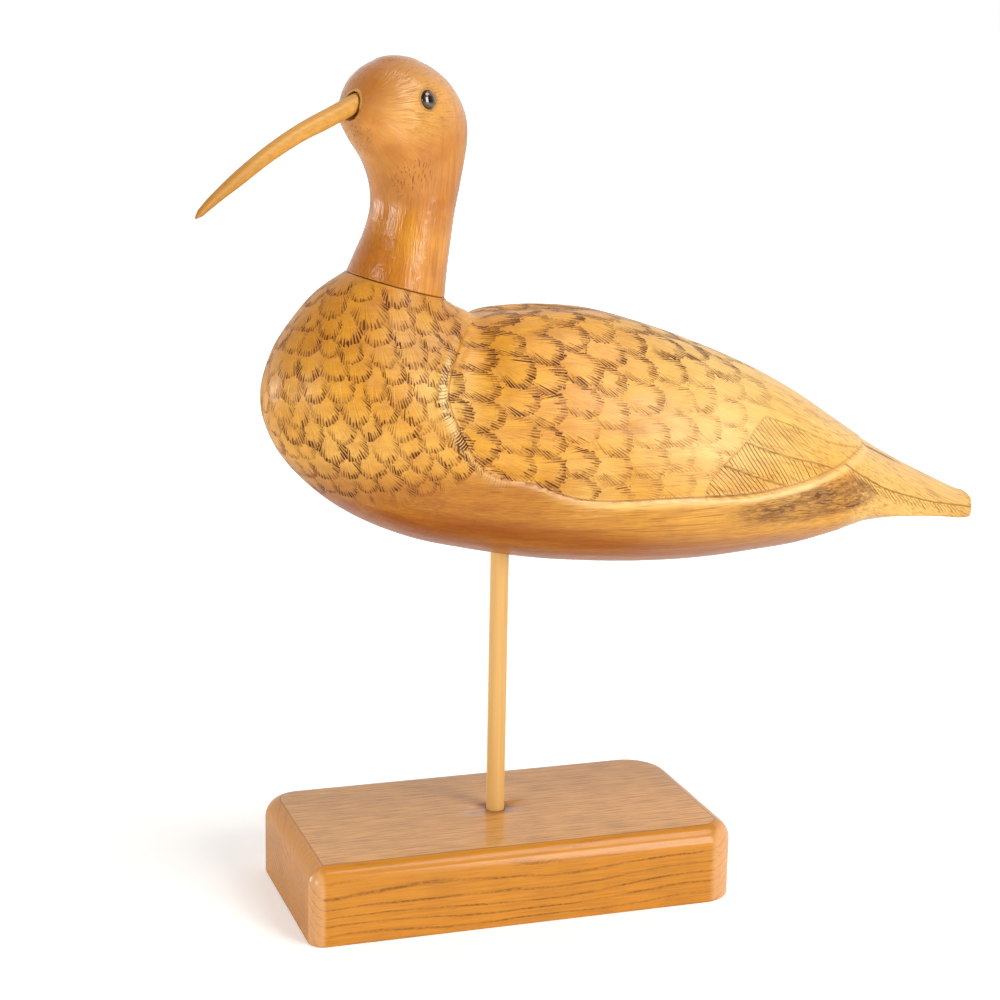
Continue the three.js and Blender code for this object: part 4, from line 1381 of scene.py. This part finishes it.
def varnished_oak_base(settings):
    """Oak under satin varnish: straight fine pores on top, thin wavy growth lines along the edges."""
    material, node = new_material("varnished_oak_base")
    place = in_millimetres(node)
    growth = growth_lines(node, place)
    # Pores 15 mm long and 0.45 mm wide on top, 8 and 0.4 mm on the edges, coarser than real ones so
    # that they show.
    pores = fibres(node, place, 15, 0.45, seed=8)
    short = fibres(node, place, 8, 0.4, detail=2, seed=18)
    fine = fibres(node, place, 30, 0.8, detail=2, seed=28)
    blotches = node("TexNoise", place, Scale=0.05, Detail=3.0, Roughness=0.6, output="Fac")
    outward_x, outward_y, outward_z = node("SeparateXYZ", node("TexCoord", output="Normal")).node.outputs
    level = node("SeparateXYZ", place).node.outputs[2]
    upward = node("MapRange", level, base_thickness - 0.25, base_thickness - 0.02, 0.0, 1.0, **soft)
    # The upper face takes its own colour, paler and greyer as painted sheen.
    colour = node("MixRGB", upward, settings.oak, settings.oak_top_with_sheen)
    line_share = node("Math", growth, node("MapRange", upward, 0.0, 1.0, 0.8, 0.0), operation="MULTIPLY")
    top_pores = node("Math", node("MapRange", pores, 0.5, 0.6, 0.0, 0.42), upward, operation="MULTIPLY")
    edge_pores = node("MapRange", short, 0.58, 0.68, 0.0, 0.25)
    pore_share = node("Math", top_pores, edge_pores, operation="MAXIMUM")
    # Painted highlight on the corners, where the grain hardly shows, as on the rounded upper edge.
    corner = node("Math", outward_x, outward_y, operation="MULTIPLY")
    corner = node("Math", corner, operation="ABSOLUTE")
    corner = node("MapRange", corner, 0.03, 0.3, 0.0, 1.0, **soft)
    colour = node("MixRGB", node("Math", corner, 0.75, operation="MULTIPLY"), colour, linear("#E2A971"))
    grained = node("MapRange", outward_z, 0.1, 0.4, 1.0, 0.35)
    grained = node("Math", grained, node("MapRange", corner, 0.0, 1.0, 1.0, 0.4), operation="MULTIPLY")
    grained = node("Math", grained, upward, operation="MAXIMUM")
    # Varnish built up in a line along the rounding's upper end.
    built_up = node("Math", node("Math", upward, 0.45, operation="SUBTRACT"), operation="ABSOLUTE")
    built_up = node("MapRange", built_up, 0.1, 0.45, 0.5, 0.0, **soft)
    for mask in (line_share, pore_share):
        mask = node("Math", mask, grained, operation="MULTIPLY")
        colour = node("MixRGB", mask, colour, settings.oak_line)
    colour = node("MixRGB", built_up, colour, settings.oak_line)
    tone = node("MapRange", blotches, 0.3, 0.7, 1.06, 0.9)
    tone = node("Math", tone, node("MapRange", fine, 0.35, 0.65, 1.07, 0.9), operation="MULTIPLY")
    colour = node("MixRGB", grained, colour, node("MixRGB", 1.0, colour, tone, blend_type="MULTIPLY"))
    # Painted shade round the foot of the post, where it stands in its hole.
    from_post = node("VectorMath", place, (1, 1, 0), operation="MULTIPLY")
    from_post = node("VectorMath", from_post, operation="LENGTH", output="Value")
    foot_shade = node("MapRange", from_post, post_diameter / 2, post_diameter * 1.2, 0.5, 0.0, **soft)
    colour = node("MixRGB", foot_shade, colour, settings.oak_line)
    height = node("Math", pore_share, -1.0, operation="MULTIPLY")
    height = node("Math", growth, -0.4, height, operation="MULTIPLY_ADD")
    height = node("Math", height, grained, operation="MULTIPLY")
    bump = node("Bump", Strength=1.0, Distance=0.05 * MM, Height=height)
    shader = node(
        "BsdfPrincipled", Base_Color=colour, Roughness=0.36, IOR=1.5, Specular_IOR_Level=0.15,
        Coat_Weight=0.5, Coat_Roughness=0.14, Coat_IOR=1.5, Normal=bump)
    node("OutputMaterial", shader)
    return material


def fired_glass_eye():
    """Glass eye: black pupil, dark brown iris, a black edge of painted socket shade, under a clear,
    fire-polished dome.
    """
    material, node = new_material("fired_glass_eye")
    black = linear("#060403")
    ring = node("Attribute", attribute_name="from_centre", output="Fac")
    colour = node("MixRGB", node("MapRange", ring, 0.36, 0.46, 0.0, 1.0), black, linear("#553421"))
    # Painted shade of the socket blackens the eye's edge.
    colour = node("MixRGB", node("MapRange", ring, 0.72, 0.84, 0.0, 0.85), colour, black)
    shader = node(
        "BsdfPrincipled", Base_Color=colour, Roughness=0.05, IOR=1.46, Coat_Weight=1.0,
        Coat_Roughness=0.03, Coat_IOR=1.6)
    node("OutputMaterial", shader)
    return material


def matte_paper_floor(settings):
    """Seamless paper, plain, pale and matte, with a painted glow: brighter further from the bird, dimmer in
    the light it casts.
    """
    material, node = new_material("matte_paper_floor")
    away = node("VectorMath", in_millimetres(node), operation="LENGTH", output="Value")
    # The floor glows as painted light.
    glow = node("MapRange", away, 130, 1200, 0.36, 0.95, **soft)
    seen = node("LightPath", output="Is Camera Ray")
    glow = node("Math", glow, node("MapRange", seen, 0.0, 1.0, 0.12, 1.0), operation="MULTIPLY")
    shader = node(
        "BsdfPrincipled", Base_Color=settings.floor, Roughness=0.9, Specular_IOR_Level=0.1,
        Emission_Color=(1, 1, 1), Emission_Strength=glow)
    node("OutputMaterial", shader)
    return material


# Head, bill and eyes

def seam_station():
    """The neck's lowest ring, on the body's last one with the seam's gap below and around it."""
    back_x, back_z, front_x, front_z, half_width = body_stations[-1][:5]
    slope = math.atan2(front_z - back_z, back_x - front_x)
    gap = seam_gap / share
    half_length = math.hypot(back_x - front_x, front_z - back_z) / 2
    middle_x = (back_x + front_x) / 2 + gap * math.sin(slope)
    middle_z = (back_z + front_z) / 2 + gap * math.cos(slope)
    return middle_x, middle_z, half_length - gap, half_width - gap, math.degrees(slope), 0


# Above the last ring but one the crown is rounded off with a few more rings.
crown = [
    (-14.78, 65.93, 2.15, 1.78, 0, 1), (-14.85, 66.12, 1.2, 1.0, 0, 1), (-14.9, 66.19, 0.4, 0.33, 0, 1),
]
head_rows = [seam_station(), *head_stations]
rounded_rows = [*head_rows[:-1], *crown]


def head_frame(turn):
    """Level directions of a ring turned to the bird's left: forward to the bill, and to its left."""
    forward = np.stack([-np.cos(turn), -np.sin(turn), 0 * turn], -1)
    left = np.stack([np.sin(turn), -np.cos(turn), 0 * turn], -1)
    return forward, left


def head_grid(places, angles, stations=None):
    """Points of the head for each place among its stations, at angles round from the bill."""
    rows = station_at(stations or head_rows, places)
    slope = np.radians(rows[:, 4])
    forward, left = head_frame(np.radians(head_turn * rows[:, 5]))
    ahead = forward * np.cos(slope)[:, None]
    ahead[:, 2] = np.sin(slope)
    centre = np.stack([rows[:, 0] * share, 0 * slope, belly_level + rows[:, 1] * share], -1)
    along = ahead * rows[:, 2, None] * share
    across = left * rows[:, 3, None] * share
    return centre[:, None] + along[:, None] * np.cos(angles)[None, :, None] \
        + across[:, None] * np.sin(angles)[None, :, None]


def head_place(height, degrees):
    """The head's point and outward normal at a ring's height in shares, degrees round from the bill."""
    fine = np.linspace(0, len(head_rows) - 1, 4000)
    place = fine[np.argmax(station_at(head_rows, fine)[:, 1] >= height)]
    around = np.array([-0.05, 0, 0.05])
    patch = head_grid(place + around, math.radians(degrees) + around)
    normal = np.cross(patch[1, 2] - patch[1, 0], patch[2, 1] - patch[0, 1])
    return patch[1, 1], normal / np.linalg.norm(normal)


def bill_frame():
    """Where the bill enters the head, its level forward direction and the direction of its hole."""
    root, _ = head_place(*bill_place)
    forward, _ = head_frame(np.radians(np.array(float(head_turn))))
    pitch = math.radians(bill_pitch)
    axis = forward * math.cos(pitch) - np.array([0, 0, math.sin(pitch)])
    return root, forward, axis


def off_axis(points, place, axis):
    """Distance of points from an axis through a place, and how far along the axis they lie."""
    along = (points - place) @ axis
    return np.linalg.norm(points - place - along[:, None] * axis, axis=1), along


def head_mesh():
    """Head and neck with the bill's hole and the eyes' sockets, and where its finish changes."""
    places = np.linspace(0, len(rounded_rows) - 1, head_rings)
    grid = head_grid(places, round_angles(head_sides), rounded_rows)
    root, _, axis = bill_frame()
    radius = bill_root_diameter / 2 + bill_hole_slack
    mouth = radius + bill_hole_chamfer
    mesh = make_mesh("bird_head", *closed_tube(grid))
    bore = [
        (radius, -bill_in_head - end_gap), (radius, -bill_hole_chamfer), (mouth, 0), (mouth, hole_excess)]
    cutters = [turned_grid(bore, hole_sides, root, axis)]
    socket_radius = eye_diameter / 2 + eye_socket_slack
    socket = [(socket_radius, -eye_back - end_gap), (socket_radius, hole_excess)]
    eyes = [head_place(eye_place[0], sign * eye_place[1]) for sign in (1, -1)]
    for place, outward in eyes:
        cutters.append(turned_grid(socket, hole_sides, place, outward))
    mesh = cut_mesh(mesh, cutters)
    points = mesh_points(mesh)
    gap, along = off_axis(points, root, axis)
    store(mesh, "mouth_gap", np.where(along > -mouth_depth, gap - mouth, far_off))
    eye_gap = np.full(len(points), far_off)
    for place, outward in eyes:
        gap, along = off_axis(points, place, outward)
        eye_gap = np.where(along > -eye_side_depth, np.minimum(eye_gap, gap - socket_radius), eye_gap)
    store(mesh, "eye_gap", eye_gap)
    x, _, z = points.T
    pored = [spot(x, z, *place) > 0.4 for place in pored_places]
    store(mesh, "pored", np.any(pored, axis=0))
    store(mesh, "head_darkening", head_darkening_share(x, z, np.linalg.norm(points - root, axis=1)))
    return mesh


def head_darkening_share(x, z, from_bill):
    """How much darker the head is painted: on the crown, on the throat, below the head, at the nape, by the
    bill.
    """
    crown_share = 0.75 * smooth_step(z + 0.25 * (-x - 37), *crown_levels)
    throat = 0.8 * smooth_step(-x, *throat_distances) * (1 - smooth_step(z, *throat_levels))
    below_head = 0.5 * ridge(z, *below_head_place)
    nape = 0.15 * smooth_step(x, *nape_places) * smooth_step(z, *nape_levels)
    neck = np.maximum(throat, np.maximum(below_head, nape))
    return np.clip(crown_share + neck + 0.15 * ridge(from_bill, 0, near_bill), 0, 1)


def bill_mesh():
    """The bill: round in section, bent down and tapered to a blunt point, with its root in the head."""
    root, forward, axis = bill_frame()
    points = [root - axis * bill_in_head, root]
    for along, down in bill_line:
        points.append(root + forward * along * bill_reach + np.array([0, 0, down * bill_reach]))
    line = centripetal(np.array(points), 24)
    travelled = np.concatenate([[0], np.cumsum(np.linalg.norm(np.diff(line, axis=0), axis=1))])
    wanted = np.linspace(0, travelled[-1], bill_rings)
    centres = np.stack([np.interp(wanted, travelled, line[:, i]) for i in range(3)], -1)
    tangents = np.gradient(centres, axis=0)
    tangents /= np.linalg.norm(tangents, axis=1, keepdims=True)
    across = np.cross((0, 0, 1), forward)
    across /= np.linalg.norm(across)
    over = np.cross(tangents, across)
    radius = bill_root_diameter / 2 * look_up(bill_thickness, (centres - root) @ forward / bill_reach)
    angles = round_angles(bill_sides)
    grid = centres[:, None] + radius[:, None, None] * (
        over[:, None] * np.cos(angles)[None, :, None] + across * np.sin(angles)[None, :, None])
    # The tip stays inside the box of its solid.
    grid = np.maximum(grid, np.array(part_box("bill")[0]) / MM)
    mesh = make_mesh("bird_bill", *closed_tube(grid))
    store(mesh, "from_root", np.clip((mesh_points(mesh) - root) @ forward / bill_reach, 0, 1))
    return mesh


def centripetal(points, steps):
    """A smooth line through points that keeps close to them where they lie unevenly."""
    ends = np.array([2 * points[0] - points[1], *points, 2 * points[-1] - points[-2]])
    gaps = np.linalg.norm(np.diff(ends, axis=0), axis=1) ** 0.5
    line = [points[0]]
    for i in range(len(points) - 1):
        p0, p1, p2, p3 = ends[i:i + 4]
        d0, d1, d2 = gaps[i:i + 3]
        m1 = (p1 - p0) / d0 - (p2 - p0) / (d0 + d1) + (p2 - p1) / d1
        m2 = (p2 - p1) / d1 - (p3 - p1) / (d1 + d2) + (p3 - p2) / d2
        for f in np.arange(1, steps + 1) / steps:
            passed = 3 * f ** 2 - 2 * f ** 3
            leaving, arriving = f ** 3 - 2 * f ** 2 + f, f ** 3 - f ** 2
            line.append((1 - passed) * p1 + passed * p2 + d1 * (leaving * m1 + arriving * m2))
    return np.array(line)


def eye_mesh(name, sign):
    """A glass eye with a flat back and a domed front."""
    place, outward = head_place(eye_place[0], sign * eye_place[1])
    radius = eye_diameter / 2
    profile = [(radius * 0.94, -eye_back), (radius, -eye_back + 0.2)]
    for angle in np.linspace(0, math.pi / 2 - 0.03, dome_rings):
        profile.append((radius * math.cos(angle), eye_dome * math.sin(angle) - eye_sink))
    mesh = make_mesh(name, *closed_tube(turned_grid(profile, hole_sides, place, outward)))
    store(mesh, "from_centre", off_axis(mesh_points(mesh), place, outward)[0] / radius)
    return mesh


# The stand

def base_ring(height, inset):
    """One level of the base: its outline drawn in by an inset, which the corner arcs take up."""
    corners = [
        (1, 1, corner_radii["back_tail"]), (-1, 1, corner_radii["back_bill"]),
        (-1, -1, corner_radii["front_bill"]), (1, -1, corner_radii["front_tail"])]
    arcs = []
    for quarter, (side_x, side_y, radius) in enumerate(corners):
        inner = max(radius - inset, smallest_corner)
        centre = (side_x * (base_length / 2 - inset - inner), side_y * (base_width / 2 - inset - inner))
        angles = math.pi / 2 * (quarter + np.linspace(0, 1, arc_steps + 1))
        arcs.append(np.stack([centre[0] + inner * np.cos(angles), centre[1] + inner * np.sin(angles)], -1))
    ring = []
    for arc, following in zip(arcs, arcs[1:] + arcs[:1]):
        ring.append(arc)
        between = np.linspace(0, 1, side_steps + 1)[1:-1, None]
        ring.append(arc[-1] + (following[0] - arc[-1]) * between)
    flat = np.concatenate(ring)
    return np.column_stack([flat, np.full(len(flat), height)])


def base_mesh():
    """The base block: rounded corners and top edge, with the post's hole."""
    levels = []
    for angle in np.linspace(0, math.pi / 2, foot_levels):
        levels.append((foot_rounding * (1 - math.cos(angle)), foot_rounding * (1 - math.sin(angle))))
    for height in np.linspace(foot_rounding, base_thickness - top_rounding, side_levels)[1:-1]:
        levels.append((height, 0))
    for angle in np.linspace(0, math.pi / 2, edge_levels):
        drop = top_rounding * (1 - math.sin(angle))
        levels.append((base_thickness - drop, top_rounding * (1 - math.cos(angle))))
    rings = [base_ring(*level) for level in levels]
    outer = rings[-1]
    for inward in top_ring_shares:
        rings.append(outer * (inward, inward, 1))
    mesh = make_mesh("stand_base", *closed_tube(np.array(rings)))
    radius = post_diameter / 2 + post_hole_slack
    hole = [(radius, post_low.z - end_gap), (radius, base_thickness + hole_excess)]
    return cut_mesh(mesh, [turned_grid(hole, hole_sides)])


def post_mesh():
    """The straight dowel with its ends eased."""
    radius = post_diameter / 2
    low, *levels, high = np.linspace(post_low.z, post_high.z, post_rings)
    eased = radius - post_easing
    profile = [(eased, low), *[(radius, level) for level in levels], (eased, high)]
    return make_mesh("stand_post", *closed_tube(turned_grid(profile, hole_sides)))


# Operators

class DECOY_OT_add_body(bpy.types.Operator):
    """Carve the body with its wings, feathers and tail"""

    bl_idname = "decoy.add_body"
    bl_label = "Carve Body"

    def execute(self, context):
        settings = context.scene.decoy_bird
        mesh = body_mesh(settings)
        mark_body(mesh, settings)
        add_piece("bird_body", mesh, varnished_basswood_body(settings), "body")
        return {"FINISHED"}


class DECOY_OT_add_head(bpy.types.Operator):
    """Carve the head and neck"""

    bl_idname = "decoy.add_head"
    bl_label = "Carve Head"

    def execute(self, context):
        material = varnished_basswood_head(context.scene.decoy_bird)
        add_piece("bird_head", head_mesh(), material, "head")
        return {"FINISHED"}


class DECOY_OT_add_bill(bpy.types.Operator):
    """Shape the long bent bill"""

    bl_idname = "decoy.add_bill"
    bl_label = "Shape Bill"

    def execute(self, context):
        material = varnished_bill_wood(context.scene.decoy_bird)
        add_piece("bird_bill", bill_mesh(), material, "bill")
        return {"FINISHED"}


class DECOY_OT_add_eyes(bpy.types.Operator):
    """Set the two glass eyes"""

    bl_idname = "decoy.add_eyes"
    bl_label = "Set Eyes"

    def execute(self, context):
        material = fired_glass_eye()
        for side, sign in (("left", 1), ("right", -1)):
            name = f"bird_eye_{side}"
            add_piece(name, eye_mesh(name, sign), material, f"eye_{side}")
        return {"FINISHED"}


class DECOY_OT_add_stand(bpy.types.Operator):
    """Make the oak base and the birch post"""

    bl_idname = "decoy.add_stand"
    bl_label = "Make Stand"

    def execute(self, context):
        settings = context.scene.decoy_stand
        add_piece("stand_base", base_mesh(), varnished_oak_base(settings), "base")
        add_piece("stand_post", post_mesh(), planed_birch_dowel(settings), "post")
        return {"FINISHED"}


class DECOY_OT_add_stage(bpy.types.Operator):
    """Lay the studio floor and set the lights and the camera"""

    bl_idname = "decoy.add_stage"
    bl_label = "Set Stage"

    def execute(self, context):
        scene = context.scene
        add_floor(scene.decoy_stand)
        add_lights()
        add_camera()
        scene.view_settings.view_transform = "Standard"
        return {"FINISHED"}


def add_floor(settings):
    """A wide round floor."""
    angles = round_angles(96)
    ring = floor_radius * np.column_stack([np.cos(angles), np.sin(angles), 0 * angles])
    mesh = bpy.data.meshes.new("studio_floor")
    mesh.from_pydata((ring * MM).tolist(), [], [tuple(range(len(ring)))])
    mesh.materials.append(matte_paper_floor(settings))
    floor = bpy.data.objects.new("studio_floor", mesh)
    bpy.context.scene.collection.objects.link(floor)


def add_lights():
    """Soft boxes and a white room."""
    world = bpy.data.worlds.new("white_room")
    world.use_nodes = True
    world.node_tree.nodes.clear()
    node = partial(add_node, world.node_tree)
    # The white backdrop behind the bird, and to its right, is the brightest side of the room.
    direction = node("TexCoord", output="Generated")
    behind = node("VectorMath", direction, (0.4, 0.92, 0), operation="DOT_PRODUCT", output="Value")
    strength = node("MapRange", behind, -0.3, 0.8, 0.12, 0.9, **soft)
    room = node("Background", (1, 1, 1), strength)
    backdrop = node("Background", (1, 1, 1), 1.0)
    seen = node("LightPath", output="Is Camera Ray")
    node("OutputWorld", node("MixShader", seen, room, backdrop))
    bpy.context.scene.world = world
    for name, place, width, height, power in soft_boxes:
        light = bpy.data.lights.new(name, "AREA")
        light.shape = "RECTANGLE"
        light.size = width
        light.size_y = height
        light.energy = power
        lamp = bpy.data.objects.new(name, light)
        lamp.location = place
        lamp.rotation_euler = (lit_place - Vector(place)).to_track_quat("-Z", "Y").to_euler()
        bpy.context.scene.collection.objects.link(lamp)


def add_camera():
    """The photograph's viewpoint: a long lens a little above the bird, from its left front."""
    camera = bpy.data.cameras.new("camera")
    camera.sensor_width = camera_sensor
    camera.lens = camera_lens
    viewer = bpy.data.objects.new("camera", camera)
    viewer.location = camera_place
    viewer.rotation_euler = [math.radians(angle) for angle in camera_turn]
    bpy.context.scene.collection.objects.link(viewer)
    bpy.context.scene.camera = viewer


class DECOY_PT_sidebar(bpy.types.Panel):
    """Settings and steps of the shorebird decoy"""

    bl_label = "Shorebird Decoy"
    bl_idname = "DECOY_PT_sidebar"
    bl_space_type = "VIEW_3D"
    bl_region_type = "UI"
    bl_category = "Decoy"

    def draw(self, context):
        layout = self.layout
        for settings in (context.scene.decoy_bird, context.scene.decoy_stand):
            for name in settings.bl_rna.properties.keys():
                if name not in ("rna_type", "name"):
                    layout.prop(settings, name)
        for step in steps:
            layout.operator(step.bl_idname)


settings_groups = [DecoyBirdSettings, DecoyStandSettings]
steps = [
    DECOY_OT_add_stage, DECOY_OT_add_stand, DECOY_OT_add_body, DECOY_OT_add_head, DECOY_OT_add_bill,
    DECOY_OT_add_eyes,
]


def register():
    for kind in [*settings_groups, *steps, DECOY_PT_sidebar]:
        bpy.utils.register_class(kind)
    bpy.types.Scene.decoy_bird = bpy.props.PointerProperty(type=DecoyBirdSettings)
    bpy.types.Scene.decoy_stand = bpy.props.PointerProperty(type=DecoyStandSettings)


def unregister():
    del bpy.types.Scene.decoy_stand
    del bpy.types.Scene.decoy_bird
    for kind in reversed([*settings_groups, *steps, DECOY_PT_sidebar]):
        bpy.utils.unregister_class(kind)


def main():
    """Registers the add-on and builds the whole decoy."""
    register()
    for step in steps:
        category, name = step.bl_idname.split(".")
        getattr(getattr(bpy.ops, category), name)()


if __name__ == "__main__":
    main()
